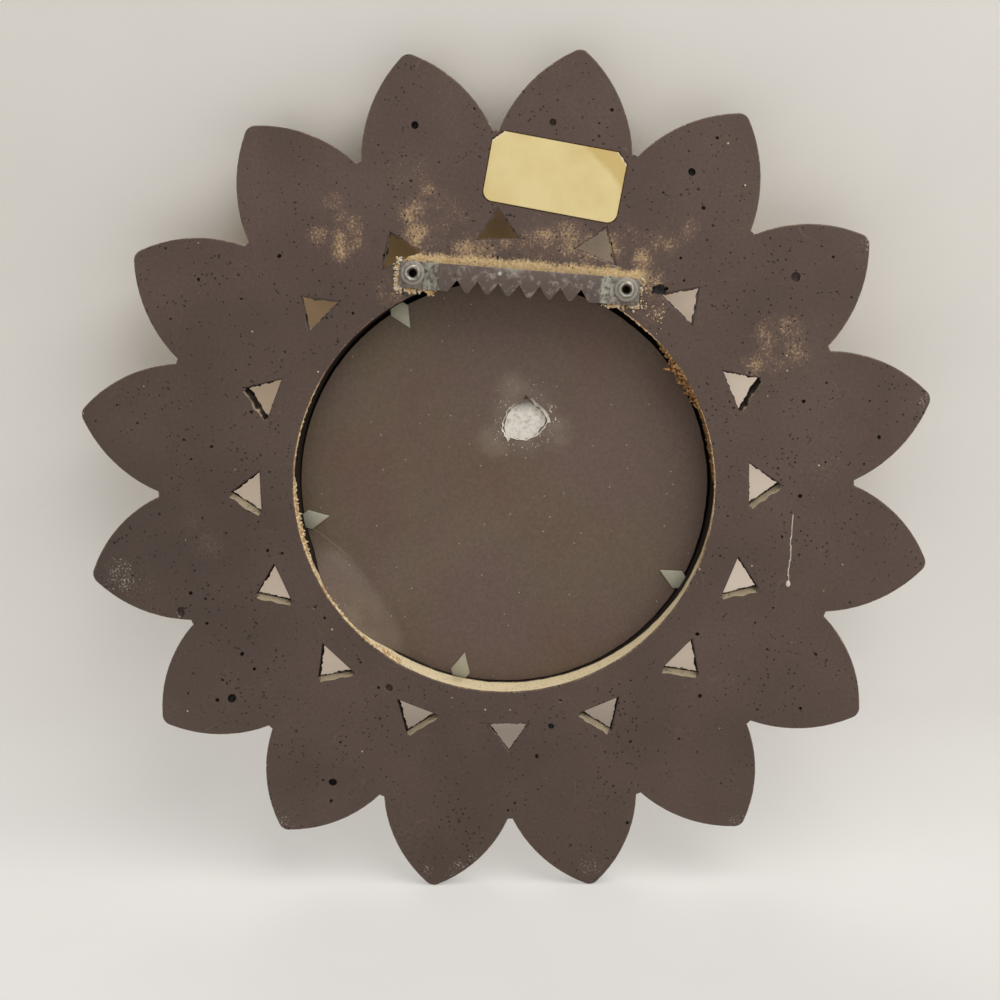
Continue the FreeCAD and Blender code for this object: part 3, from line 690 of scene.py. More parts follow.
def painted_card(look):
    """Grey card painted brown with the casting: clouded, finely flecked, bloomed grey on the bent corner, where the
    grey also stands for its painted sheen, with a painted highlight along the crease.
    """
    material, add, place = start_material("painted_card")
    cloud = add("TexNoise", place, per_mm(28), 3.0)
    warm = add("MapRange", cloud, 0.48, 0.7, 0.0, 0.6)
    tint = add("TexNoise", place, per_mm(40), 2.0)
    green = add("MapRange", tint, 0.44, 0.6, 0.0, 0.8)
    face = layered(add, look.paint, (green, look.paint_olive), (warm, look.paint_red))
    fine = add("TexNoise", place, per_mm(0.8), 3.0)
    grain = add("MapRange", fine, 0.3, 0.7, 0.88, 1.1)
    face = add("VectorMath", face, grain, operation="MULTIPLY")

    # bloom on the bent corner, from the crease out to the rim, which also stands for the corner's painted sheen; a
    # painted highlight along the upper crease; and dust round the tear
    bent = local_place(add, place, *CREASE)
    chord = add("SeparateXYZ", bent, out="Z")
    corner = add("SeparateXYZ", bent, out="X")
    bow = add("Math", chord, chord, operation="MULTIPLY")
    bow = add("Math", bow, -CREASE_BOW / CREASE_HALF ** 2 / MM, CREASE_BOW * MM, operation="MULTIPLY_ADD")
    corner = add("Math", corner, bow, operation="ADD")
    smear = add("TexNoise", place, per_mm(5), 6.0, 0.7)
    soft = add("Math", smear, 5 * MM, corner, operation="MULTIPLY_ADD")
    outward = add("MapRange", soft, 2.0 * MM, 12 * MM)
    smeared = add("MapRange", smear, 0.32, 0.66, 0.25)
    bloom = add("Math", outward, smeared, operation="MULTIPLY")
    lower = add("MapRange", chord, 14 * MM, -14 * MM, 0.12, 0.42)
    bloom = add("Math", bloom, lower, operation="MULTIPLY")
    # painted highlight: a thin pale line along the upper part of the crease
    fold = add("Math", corner, operation="ABSOLUTE")
    fold = add("MapRange", fold, 0.1 * MM, 0.35 * MM, 1.0, 0.0)
    upper = add("MapRange", chord, 10 * MM, 17 * MM, 0.0, 0.22)
    fold = add("Math", fold, upper, operation="MULTIPLY")
    bloom = add("Math", bloom, fold, operation="MAXIMUM")
    round_tear = spread(add, place, TORN_HALO, CARD_BACK)
    halo = add("Math", round_tear, smeared, operation="MULTIPLY")
    bloom = add("Math", bloom, halo, operation="MAXIMUM")

    # pale flecks, thick round the tear
    flecks = add("TexVoronoi", place, per_mm(3.6))
    fleck = add("MapRange", flecks, 0.02, 0.06, 0.5, 0.0)
    shreds = add("TexVoronoi", place, per_mm(1.1))
    shred = add("MapRange", shreds, 0.04, 0.14, 1.3, 0.0)
    rim = add("MapRange", soft, 8 * MM, 13 * MM, 0.0, 0.7)
    strewn = add("Math", round_tear, rim, operation="MAXIMUM")
    shred = add("Math", shred, strewn, operation="MULTIPLY")
    fleck = add("Math", fleck, shred, operation="MAXIMUM", use_clamp=True)
    face = layered(add, face, (bloom, look.haze), (fleck, look.core))
    dull = add("Math", bloom, outward, operation="MAXIMUM")
    rough = add("MapRange", dull, 0.0, 1.0, 0.46, 0.95)
    level = add("Math", smear, 2.0, fine, operation="MULTIPLY_ADD")
    finish_material(add, {"Base Color": face, "Roughness": rough, "Specular IOR Level": 0.4}, (level, 0.3, 0.15))
    return material


def torn_paper(look, name, pale, dark):
    """Card laid open: soft grey paper fibre with darker shreds, and painted shadow near the top of the tear."""
    material, add, place = start_material(name)
    pulp = add("TexNoise", place, per_mm(1.6), 6.0, 0.75)
    tone = add("MapRange", pulp, 0.24, 0.52)
    # painted shadow under the raised edge at the top of the tear, laid on in card paint
    upper = spread(add, place, ((-5.6, 24.5, 6.5, 2.4), (-10.5, 21.5, 3.0, 1.4)), CARD_BACK)
    dirt = add("Math", upper, pulp, operation="MULTIPLY", use_clamp=True)
    sheet = layered(add, dark, (tone, pale), (dirt, look.paint))
    finish_material(add, {"Base Color": sheet, "Roughness": 0.95, "Specular IOR Level": 0.1}, (pulp, 0.5, 0.3))
    return material


# Torn place in the card, corner by corner, and the crease: a point on it and the turn of the way out from it
TEAR = (
    (-5.4, 22.5), (-4.0, 21.8), (-1.9, 20.4), (-0.6, 18.1), (0.1, 15.0), (-1.3, 11.4), (-2.1, 12.6), (-3.8, 12.2),
    (-6.4, 11.9), (-9.4, 13.3), (-10.7, 14.8), (-12.0, 16.5), (-11.4, 18.5), (-9.7, 20.4), (-8.5, 21.4),
    (-7.4, 22.5), (-6.3, 23.6),
)
CREASE = (38.3, -32.7, -32.0)
CREASE_BOW = 4.0        # the crease bows in from its chord, whose half length is next
CREASE_HALF = 22.0
BEND_REACH, BEND_CURVE = 9.4, 1.45      # from the crease to the rim, and how steeply the corner curls
TEAR_MIDDLE = (-5.9, 17.3)
SHREDS = 110                            # small shreds round the tear, then the larger ones with their sizes
LARGE_SHREDS = (((-12.7, 19.4), 0.34), ((-14.1, 17.2), 0.3), ((-13.2, 20.6), 0.2))
TORN_HALO = ((-5.8, 17.6, 12.0, 0.75), (-14.0, 14.0, 7, 0.5), (-3.0, 25.5, 7, 0.5), (2.0, 12.0, 7, 0.5))


def tear_outline(bm, height):
    """Closed loop of edges round the torn place, roughened."""
    corners = [bm.verts.new((x * MM, height, z * MM)) for x, z in TEAR]
    loop = [bm.edges.new((corner, corners[index - 1])) for index, corner in enumerate(corners)]
    bmesh.ops.subdivide_edges(bm, edges=loop, cuts=7)
    for vert in bm.verts:
        vert.co += tattered(vert.co, 0.8, 0.34)
    return bm.edges[:]


class MIRROR_OT_card(Operator):
    """Lays the painted card in the rebate, creased and torn"""
    bl_idname = "mirror.card"
    bl_label = "Card"

    def execute(self, context):
        look = context.scene.mirror_card
        low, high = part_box("backing_board")
        radius = (high.x - low.x) / 2
        bm = bmesh.new()
        bmesh.ops.create_circle(bm, cap_ends=True, segments=160, radius=radius)
        bmesh.ops.rotate(bm, verts=bm.verts, matrix=Matrix.Rotation(math.radians(-90), 3, "X"))
        bmesh.ops.translate(bm, verts=bm.verts, vec=(0, low.y, CARD_DROP * MM))
        for vert in bm.verts:
            rag = 0.5 + 0.5 * noise.noise(vert.co * per_mm(1.5))
            side = max(vert.co.x / radius, 0.0)
            out = Vector((vert.co.x, 0, vert.co.z - CARD_DROP * MM)).normalized()
            vert.co += out * (CARD_SLIDE * side - 0.3 * rag * (1 - side)) * MM
        back = verts_of(bmesh.ops.extrude_face_region(bm, geom=bm.faces[:])["geom"])
        bmesh.ops.translate(bm, verts=back, vec=(0, high.y - low.y, 0))
        turn = math.radians(CREASE[2])
        way = Vector((math.cos(turn), 0, math.sin(turn)))
        chord = Vector((-math.sin(turn), 0, math.cos(turn)))
        bend = Vector((CREASE[0] * MM, 0, CREASE[1] * MM))
        cuts = [(way, step) for step in range(-4, 6)] + [(chord, step * 2) for step in range(-12, 13)]
        for direction, step in cuts:
            bmesh.ops.bisect_plane(bm, geom=bm.verts[:] + bm.edges[:] + bm.faces[:],
                                   plane_co=bend + direction * step * MM, plane_no=direction)
        for vert in bm.verts:
            share = (vert.co - bend).dot(chord) / (CREASE_HALF * MM)
            out = (vert.co - bend).dot(way) + CREASE_BOW * MM * (1 - share * share)
            if out > WELD and abs(share) < 1:
                ease = min((1 - abs(share)) * 2.5, 1.0)
                taper = ease * ease * (3 - 2 * ease)
                vert.co.y += look.lift * taper * (out / (BEND_REACH * MM)) ** BEND_CURVE
        bmesh.ops.recalc_face_normals(bm, faces=bm.faces)
        for face in bm.faces:
            face.material_index = 0 if face.normal.y > 0.5 else 1
        edge = torn_paper(look, "cut_card_edge", look.edge, look.paint)
        piece = new_object("backing_card", bm, [painted_card(look), edge])

        bm = bmesh.new()
        loop = tear_outline(bm, high.y + look.tear_depth)
        bmesh.ops.contextual_create(bm, geom=loop)
        floor = verts_of(bmesh.ops.extrude_face_region(bm, geom=bm.faces[:])["geom"])
        bmesh.ops.translate(bm, verts=floor, vec=(0, -2 * look.tear_depth, 0))
        bmesh.ops.recalc_face_normals(bm, faces=bm.faces)
        base = [face for face in bm.faces if face.normal.y < -0.9]
        # painted shade: the ring round the floor of the tear, where it lies above 13.6 mm, wears the dark of the
        # gap under the torn lip
        for face in bmesh.ops.inset_individual(bm, faces=base, thickness=0.3 * MM)["faces"]:
            face.material_index = 1 if face.calc_center_median().z > 13.6 * MM else 0
        core = torn_paper(look, "torn_card_core", look.core, look.haze)
        under = torn_paper(look, "torn_card_gap_shade", look.paint, look.gap)
        carve(piece, new_object("card_tear", bm, [core, under]))
        smooth_by_angle(piece, 20)
        hand_over(piece, "card", "backing_board")

        # curled lip of torn paper round the hole
        bm = bmesh.new()
        loop = tear_outline(bm, high.y + 0.02 * MM)
        middle = sum((vert.co for vert in bm.verts), Vector()) / len(bm.verts)
        for vert in verts_of(bmesh.ops.extrude_edge_only(bm, edges=loop)["geom"]):
            out = (vert.co - middle).normalized()
            thick = 0.65 if vert.co.x < -7.5 * MM and vert.co.z > 16.5 * MM else 0.0
            reach = 0.2 + thick + 0.5 * max(0.0, noise.noise(vert.co * per_mm(0.6)))
            vert.co += out * reach * MM + Vector((0, (0.15 + 0.5 * reach) * MM, 0))
        bmesh.ops.recalc_face_normals(bm, faces=bm.faces)
        thicken(bm, bm.faces[:], 0.1 * MM)
        dice = random.Random(23)
        for _ in range(SHREDS):
            turn = dice.uniform(0, math.tau)
            away = 6.0 + abs(dice.gauss(0, 2.6))
            spot = (TEAR_MIDDLE[0] + away * math.sin(turn), TEAR_MIDDLE[1] + away * math.cos(turn))
            scatter(bm, dice, spot, spot, 1, 0.16, 0.0, CARD_BACK)
        for spot, size in LARGE_SHREDS:
            scatter(bm, dice, spot, spot, 2, size, 0.3, CARD_BACK)
        paper = torn_paper(look, "torn_paper_lip", look.fibre, look.core)
        set_piece("card_torn_lip", bm, [paper], 40, "card")
        return {"FINISHED"}


# Hanger, rivets, points and what clings to them

def painted_hanger(look):
    """Pressed steel painted over with the frame: dull mauve brown, pale where rubbed, tabs bloomed grey green."""
    material, add, place = start_material("painted_pressed_steel")
    strip = local_place(add, place, *HANGER_PLACE)
    along = add("SeparateXYZ", strip, out="X")
    height = add("SeparateXYZ", strip, out="Z")
    reach = add("Math", along, operation="ABSOLUTE")
    cloud = add("TexNoise", place, per_mm(2.6), 5.0, 0.7)
    rubbed = add("MapRange", cloud, 0.52, 0.68, 0.0, 0.7)
    edge = add("Math", cloud, 2.2 * MM, reach, operation="MULTIPLY_ADD")
    tab = add("MapRange", edge, (TAB_START + 0.9) * MM, (TAB_START + 1.5) * MM)
    near = add("MapRange", reach, 23.5 * MM, 26.0 * MM, 1.0, 0.3)
    fur = add("TexNoise", place, per_mm(1.2), 5.0, 0.75)
    patchy = add("MapRange", fur, 0.4, 0.55)
    bloom = add("Math", tab, near, operation="MULTIPLY")
    bloom = add("Math", bloom, patchy, operation="MULTIPLY")
    shine = add("MapRange", height, (HANGER_TOP - 1.2) * MM, HANGER_TOP * MM, 0.0, 0.7)
    middle = add("Math", along, 1.7 * MM, operation="SUBTRACT")
    middle = add("Math", middle, operation="ABSOLUTE")
    middle = add("MapRange", middle, 1.5 * MM, 3.5 * MM, 1.0, 0.0)
    ridge = add("Math", shine, middle, operation="MULTIPLY")
    bloom = add("Math", bloom, ridge, operation="MAXIMUM")
    pits = add("MapRange", fur, 0.3, 0.42, 0.8, 0.0)
    # a chip in the paint near the top edge, painted bright as its glint
    nick_and_glint = spread(add, place, ((-0.31, 56.4, 0.75, 1.7),), 2.2)
    nick_and_glint = add("Math", nick_and_glint, fur, operation="MULTIPLY", use_clamp=True)
    coat = layered(add, look.hanger, (rubbed, look.hanger_bare), (bloom, look.bloom), (pits, look.grime_and_shade),
                   (nick_and_glint, look.silver))
    rough = add("MapRange", bloom, 0.0, 1.0, 0.5, 0.9)
    level = add("Math", bloom, 0.8, fur, operation="MULTIPLY_ADD")
    finish_material(add, {"Base Color": coat, "Roughness": rough, "Metallic": 0.15}, (level, 0.6, 0.25))
    return material


def worn_metal(name, bright, grime_and_shade, metallic, rough):
    """Plated sheet metal, handled and dull, with dirt in its scratches."""
    material, add, place = start_material(name)
    rub = add("TexNoise", place, per_mm(1.5), 5.0, 0.7)
    dirt = add("MapRange", rub, 0.28, 0.5, 0.75, 0.0)
    skin = add("Mix", dirt, bright, grime_and_shade, data_type="RGBA")
    polish = add("MapRange", rub, 0.3, 0.7, rough + 0.2, rough)
    fine = add("TexNoise", place, per_mm(0.4), 2.0)
    finish_material(add, {"Base Color": skin, "Metallic": metallic, "Roughness": polish}, (fine, 0.25, 0.08))
    return material


def rivet_metal(look):
    """Aluminium tube rolled over by a punch: bright on the rolled collar, black in the bore and dull on the flange,
    both by dirt and painted shade.
    """
    material, add, place = start_material("tarnished_aluminium")
    away = None
    for x, z in RIVETS:
        gap = add("VectorMath", place, (x * MM, 1.5 * MM, z * MM), operation="DISTANCE")
        away = gap if away is None else add("Math", away, gap, operation="MINIMUM")
    rub = add("TexNoise", place, per_mm(1.3), 5.0, 0.7)
    dirt = add("MapRange", rub, 0.3, 0.55, 0.8, 0.0)
    # painted shade: the flange darkened as if in the shadow of the collar, and the bore black
    flange = add("MapRange", away, 2.2 * MM, 2.6 * MM, 0.0, 0.4)
    bore = add("MapRange", away, 1.0 * MM, 1.35 * MM, 0.9, 0.0)
    dirt = add("Math", dirt, flange, operation="MAXIMUM")
    dirt = add("Math", dirt, bore, operation="MAXIMUM")
    skin = add("Mix", dirt, look.rivet, look.grime_and_shade, data_type="RGBA")
    rough = add("MapRange", dirt, 0.0, 1.0, 0.28, 0.8)
    metal = add("MapRange", dirt, 0.0, 1.0, 0.95, 0.3)
    finish_material(add, {"Base Color": skin, "Metallic": metal, "Roughness": rough}, (rub, 0.6, 0.25))
    return material


def crumbs(name, pale, dark, size=1.0):
    """Dried glue, corrosion and resin dust: matt grains of two tones, of a size in millimetres."""
    material, add, place = start_material(name)
    grain = add("TexNoise", place, per_mm(size), 4.0)
    tone = add("MapRange", grain, 0.4, 0.6)
    skin = add("Mix", tone, dark, pale, data_type="RGBA")
    finish_material(add, {"Base Color": skin, "Roughness": 0.9, "Specular IOR Level": 0.2}, (grain, 0.5, 0.2))
    return material


def steel_piece(name, node, look, material, slot):
    """Rounded copy of a piece of hardware, in its material."""
    bm = merged_copy(node)
    round_edges(bm, look.steel_round, lambda edge: True)
    set_piece(name, bm, [material], 35, slot, node)


class MIRROR_OT_hanger(Operator):
    """Paints the sawtooth hanger"""
    bl_idname = "mirror.hanger"
    bl_label = "Hanger"

    def execute(self, context):
        look = context.scene.mirror_hardware
        steel_piece("hanger_strip", "sawtooth_hanger", look, painted_hanger(look), "hanger_steel")
        return {"FINISHED"}


class MIRROR_OT_rivets(Operator):
    """Dulls the two hollow rivets"""
    bl_idname = "mirror.rivets"
    bl_label = "Rivets"

    def execute(self, context):
        look = context.scene.mirror_hardware
        metal = rivet_metal(look)
        for side in ("left", "right"):
            steel_piece(f"rivet_{side}", f"hanger_rivet_{side}", look, metal, "rivet_metal")
        return {"FINISHED"}


class MIRROR_OT_points(Operator):
    """Dulls the four glazier points"""
    bl_idname = "mirror.points"
    bl_label = "Glazier points"

    def execute(self, context):
        look = context.scene.mirror_hardware
        metal = worn_metal("dull_zinc_plate", look.point, look.hanger_bare, 0.55, 0.42)
        for side in ("upper_left", "left", "bottom", "right"):
            steel_piece(f"point_{side}", f"glazier_point_{side}", look, metal, "point_steel")
        return {"FINISHED"}


# Crumbs along an edge: start and end as x and z, how many, the largest grain, and how far they stray
TAB_CRUST = (
    ((26.5, 53.0), (26.0, 60.6), 80, 0.6, 0.9), ((17.0, 52.1), (26.3, 53.0), 70, 0.6, 0.7),
    ((-36.6, 47.2), (-37.2, 54.2), 46, 0.42, 0.9), ((-27.0, 47.9), (-36.2, 47.0), 70, 0.6, 0.8),
    ((-38.5, 47.5), (-42.0, 42.5), 34, 0.3, 2.6), ((25.8, 60.8), (16.0, 59.9), 24, 0.3, 0.4),
)


def scatter(bm, dice, start, end, count, size, stray, level):
    """Grains strewn along a line on a face whose height is level."""
    for _ in range(count):
        share = dice.random()
        grain = size * (0.35 + 0.65 * dice.random())
        x = start[0] + (end[0] - start[0]) * share + dice.gauss(0, stray / 2)
        z = start[1] + (end[1] - start[1]) * share + dice.gauss(0, stray / 2)
        place = moved(x, level + 0.25 * grain, z)
        turn = Euler([dice.uniform(0, math.tau) for _ in range(3)]).to_matrix().to_4x4()
        shape = Matrix.Diagonal((dice.uniform(0.7, 1.6), dice.uniform(0.6, 1.0), dice.uniform(0.6, 1.1), 1))
        bmesh.ops.create_icosphere(bm, subdivisions=1, radius=grain * MM, matrix=place @ turn @ shape)


SPUR_PLACE = (-44.3, -1.3, 30.6)        # splinter that stands out of the upper ledge
BEAD_PLACE = (-75.5, 0.1, -26.9)        # drop at the foot of the drip, whose ends and links are next
DRIP_TOP, DRIP_FOOT, DRIP_LINKS = (-76.6, 0, -8.3), (-75.5, 0, -26.7), 9
# Crumbling ledges on the rebate's wall: turns from the top in degrees, reach, level of the top, depth and grain
LEDGES = ((-70.5, -47.0, 2.7, -0.15, 4.5, 1.1), (-90.0, -66.0, 0.95, -0.3, 6.0, 0.9))
CHIPPED_RIM = (
    (85.0, 114.0, 1.25, -0.1, 2.6, 0.65), (112.0, 143.0, 0.6, -0.15, 1.4, 0.6),
    (140.0, 149.0, 1.5, -0.6, 2.8, 0.9), (56.0, 87.0, 0.35, -0.1, 0.8, 0.8),
    (-48.0, -33.0, 0.5, -0.1, 1.0, 0.8), (-104.0, -69.0, 0.35, -0.1, 0.9, 0.9),
)


def add_ledge(bm, start, end, reach, top, depth, grain):
    """Crumbling ledge on the rebate's wall between two turns, thinning out at its ends."""
    known = set(bm.verts)
    outer = REBATE_RADIUS + 0.4
    inner = REBATE_RADIUS + 0.02
    profile = [(outer, 0), (inner, 0), (inner, 0.2), (inner, 0.5), (inner, 1.0), (outer, 1.0)]
    corners = [bm.verts.new((0, (top - depth * drop) * MM, radius * MM)) for radius, drop in profile]
    rim = [bm.edges.new((corner, corners[index - 1])) for index, corner in enumerate(corners)]
    bmesh.ops.rotate(bm, verts=corners, cent=(0, 0, 0), matrix=Matrix.Rotation(math.radians(start), 3, "Y"))
    bmesh.ops.spin(bm, geom=corners + rim, cent=(0, 0, 0), axis=(0, 1, 0), angle=math.radians(end - start),
                   steps=int((end - start) * 2.6))
    fresh = [edge for edge in bm.edges if edge.verts[0] not in known]
    bmesh.ops.subdivide_edges(bm, edges=fresh, cuts=1, use_grid_fill=True)
    for vert in [vert for vert in bm.verts if vert not in known]:
        out = Vector((vert.co.x, 0, vert.co.z))
        if out.length > (inner + 0.1) * MM:
            continue
        turn = math.degrees(math.atan2(vert.co.x, vert.co.z))
        share = min(max((turn - start) / (end - start), 0.0), 1.0)
        drop = (top - vert.co.y / MM) / depth
        swell = math.sin(math.pi * share) ** 0.7 * (0.25 + 2.4 * drop - 2.15 * drop * drop)
        rough = 0.6 + 0.9 * noise.noise(vert.co * per_mm(grain)) + 0.6 * noise.noise(vert.co * per_mm(0.4 * grain))
        vert.co -= out.normalized() * reach * swell * max(rough, 0.0) * MM
    bmesh.ops.holes_fill(bm, edges=[edge for edge in bm.edges if edge.is_boundary])


class MIRROR_OT_crumbs(Operator):
    """Strews crust round the hanger's tabs, breaks the rebate's wall, and runs the dried drip"""
    bl_idname = "mirror.crumbs"
    bl_label = "Crumbs and drip"

    def execute(self, context):
        look = context.scene.mirror_hardware
        casting = context.scene.mirror_casting
        dice = random.Random(7)
        bm = bmesh.new()
        for start, end, count, size, stray in TAB_CRUST:
            scatter(bm, dice, start, end, count, size, stray, 0.0)
        set_piece("tab_crust", bm, [crumbs("hanger_crust", look.crust, casting.bare)], 60, "hanger_steel")

        bm = bmesh.new()
        for ledge in CHIPPED_RIM:
            add_ledge(bm, *ledge)
        chipped = crumbs("chipped_resin_rim", casting.bare_pale, look.fibre, 0.8)
        set_piece("rebate_rim", bm, [chipped], 50, "casting")

        bm = bmesh.new()
        for ledge in LEDGES:
            add_ledge(bm, *ledge)
        spur = moved(*SPUR_PLACE) @ Matrix.Rotation(math.radians(85), 4, "Y")
        bmesh.ops.create_cone(bm, cap_ends=True, segments=9, radius1=0.75 * MM, radius2=0.2 * MM, depth=3.4 * MM,
                              matrix=spur @ Matrix.Diagonal((1, 0.6, 1, 1)))
        bmesh.ops.recalc_face_normals(bm, faces=bm.faces)
        golden = crumbs("golden_broken_resin", look.fibre, look.fibre_dark, 0.7)
        set_piece("rebate_ledges", bm, [golden], 50, "casting")

        # drop of paint at the foot of the thin line that it ran down
        bm = bmesh.new()
        run = Vector(DRIP_FOOT) - Vector(DRIP_TOP)
        for index in range(DRIP_LINKS):
            foot = Vector((DRIP_TOP[0], 0.05, DRIP_TOP[2])) + run * (index + 0.5) / DRIP_LINKS
            sway = Matrix.Translation(foot * MM + Vector((noise.noise(foot * 0.4) * 0.35 * MM, 0, 0)))
            lean = run.to_track_quat("Z", "X").to_matrix().to_4x4()
            slim = Matrix.Diagonal((1, 0.6, 1, 1))
            bmesh.ops.create_cone(bm, cap_ends=True, segments=8, radius1=0.16 * MM, radius2=0.14 * MM,
                                  depth=run.length / 8.4 * MM, matrix=sway @ slim @ lean)
        bead = moved(*BEAD_PLACE) @ Matrix.Diagonal((1, 0.5, 1.35, 1))
        bmesh.ops.create_icosphere(bm, subdivisions=3, radius=0.62 * MM, matrix=bead)
        set_piece("paint_drip", bm, [crumbs("dried_pale_paint", look.drip, look.hanger_bare)], 60, "casting")
        return {"FINISHED"}


# The label

def gummed_paper(look):
    """Yellowed gummed paper: even and matt, one corner stained across a fold, white where it tore."""
    material, add, place = start_material("yellowed_gummed_paper")
    sheet = local_place(add, place, *LABEL_PLACE)
    across = add("SeparateXYZ", sheet, out="X")
    up = add("SeparateXYZ", sheet, out="Z")
    fibre = add("TexNoise", place, per_mm(0.7), 4.0)
    cloud = add("TexNoise", place, per_mm(9), 3.0)
    age = add("MapRange", cloud, 0.4, 0.7, 0.0, 0.35)
    fold = add("Math", across, -0.82, up, operation="MULTIPLY_ADD")
    drifting = add("Math", cloud, 3 * MM, fold, operation="MULTIPLY_ADD")
    stained = add("MapRange", drifting, 15.2 * MM, 17.0 * MM, 0.0, 0.75)
    wide = add("Math", across, operation="ABSOLUTE")
    corner = add("Math", wide, up, operation="ADD")
    ragged = add("Math", fibre, 1.6 * MM, corner, operation="MULTIPLY_ADD")
    torn = add("MapRange", ragged, 23.8 * MM, 24.3 * MM)
    tone = layered(add, look.paper, (age, look.stain), (stained, look.stain), (torn, look.torn))
    finish_material(add, {"Base Color": tone, "Roughness": 0.8, "Specular IOR Level": 0.25}, (fibre, 0.15, 0.06))
    return material


class MIRROR_OT_label(Operator):
    """Sticks on the bare label"""
    bl_idname = "mirror.label"
    bl_label = "Label"

    def execute(self, context):
        look = context.scene.mirror_label
        bm = merged_copy("paper_label")
        torn = [edge for edge in bm.edges if self.is_torn(edge)]
        for vert in verts_of(bmesh.ops.subdivide_edges(bm, edges=torn, cuts=9)["geom_inner"]):
            vert.co += tattered(Vector((vert.co.x, 0, vert.co.z)), 0.7, 0.25)
        piece = new_object("gummed_label", bm, [gummed_paper(look)])
        hand_over(piece, "label_paper", "paper_label")

        # old gum that has crept out and caught dirt, a dark margin round the label that also stands for the shade
        # along its edges
        bm = merged_copy("paper_label")
        middle = moved(LABEL_PLACE[0], 0, LABEL_PLACE[1])
        tilt = Matrix.Rotation(-math.radians(LABEL_PLACE[2]), 4, "Y")
        wider = Matrix.Diagonal((1.018, 0.2, 1.036, 1))
        bmesh.ops.transform(bm, matrix=middle @ tilt @ wider @ (middle @ tilt).inverted(), verts=bm.verts)
        gum = new_object("label_gum_and_shade", bm, [crumbs("dirty_gum_and_shade", look.gum, look.gum_dark)])
        hand_over(gum, "label_paper")
        return {"FINISHED"}

    @staticmethod
    def is_torn(edge):
        """True for the slanting edges of the two upper corners."""
        turn = math.radians(LABEL_PLACE[2])
        run = edge.verts[1].co - edge.verts[0].co
        across = run.x * math.cos(turn) + run.z * math.sin(turn)
        up = run.z * math.cos(turn) - run.x * math.sin(turn)
        slanting = abs(abs(across) - abs(up)) < 0.05 * MM and abs(across) > 2 * MM
        return slanting and abs(run.y) < WELD


# The glass

class MIRROR_OT_glass(Operator):
    """Silvers the front of the glass and paints its back"""
    bl_idname = "mirror.glass"
    bl_label = "Glass"

    def execute(self, context):
        look = context.scene.mirror_hardware
        # float glass silvered behind, a little foxed
        silvered, add, place = start_material("silvered_float_glass")
        bloom = add("TexNoise", place, per_mm(14), 6.0)
        foxed = add("MapRange", bloom, 0.62, 0.75, 0.0, 0.5)
        silver = add("Mix", foxed, look.silver, look.hanger_bare, data_type="RGBA")
        haze = add("MapRange", bloom, 0.5, 0.75, 0.02, 0.12)
        finish_material(add, {"Base Color": silver, "Metallic": 1.0, "Roughness": haze, "Coat Weight": 0.6,
                        "Coat Roughness": 0.02})
        # backing paint rolled over the silver, and dirt on the ground edge; the paint is near black to stand also
        # for the shade in the gap round the card
        backed, add, place = start_material("mirror_backing_paint")
        rolled = add("TexNoise", place, per_mm(1.2), 4.0)
        tone = add("MapRange", rolled, 0.4, 0.75, 0.0, 0.4)
        skin = add("Mix", tone, look.backing, look.hanger, data_type="RGBA")
        finish_material(add, {"Base Color": skin, "Roughness": 0.6}, (rolled, 0.3, 0.1))
        bm = merged_copy("mirror_glass")
        for face in bm.faces:
            face.material_index = 0 if face.normal.y < -0.5 else 1
        set_piece("glass_disc", bm, [silvered, backed], 30, "silvered_glass", "mirror_glass")
        return {"FINISHED"}


# The stage

CAMERA_PLACE = (-11.346, 360.249, 55.883)
CAMERA_AIM = (0.935, 0.0, -3.034)
CAMERA_ROLL = -1.2255
KEY_LAMP = (0.8, (-0.32, 0.4, 0.75))        # size and place of the lamps, in metres
FILL_LAMP = (1.1, (0.4, -1.0, 0.9))
SHEET_LINE = ((-12, 0.0), (-49.6, 0.0), (50.1, 600))   # y and height along the backdrop, and the bend in it
SHEET_BEND = 37
SHEET_WIDTH = 1.2                           # in metres
# Light that comes in at the sides behind the mirror: x, z, radius, strength
SIDE_LIGHT = (
    (-27.3, 63.4, 20, 0.3), (-51.4, 47.4, 20, 0.4), (-67.4, 23.3, 20, 0.5), (-73.1, -5.0, 20, 0.4),
    (-67.4, -33.4, 20, 0.3), (69.5, -33.4, 20, 0.1), (75.1, -5.0, 20, 0.17), (69.5, 23.3, 20, 0.1),
)


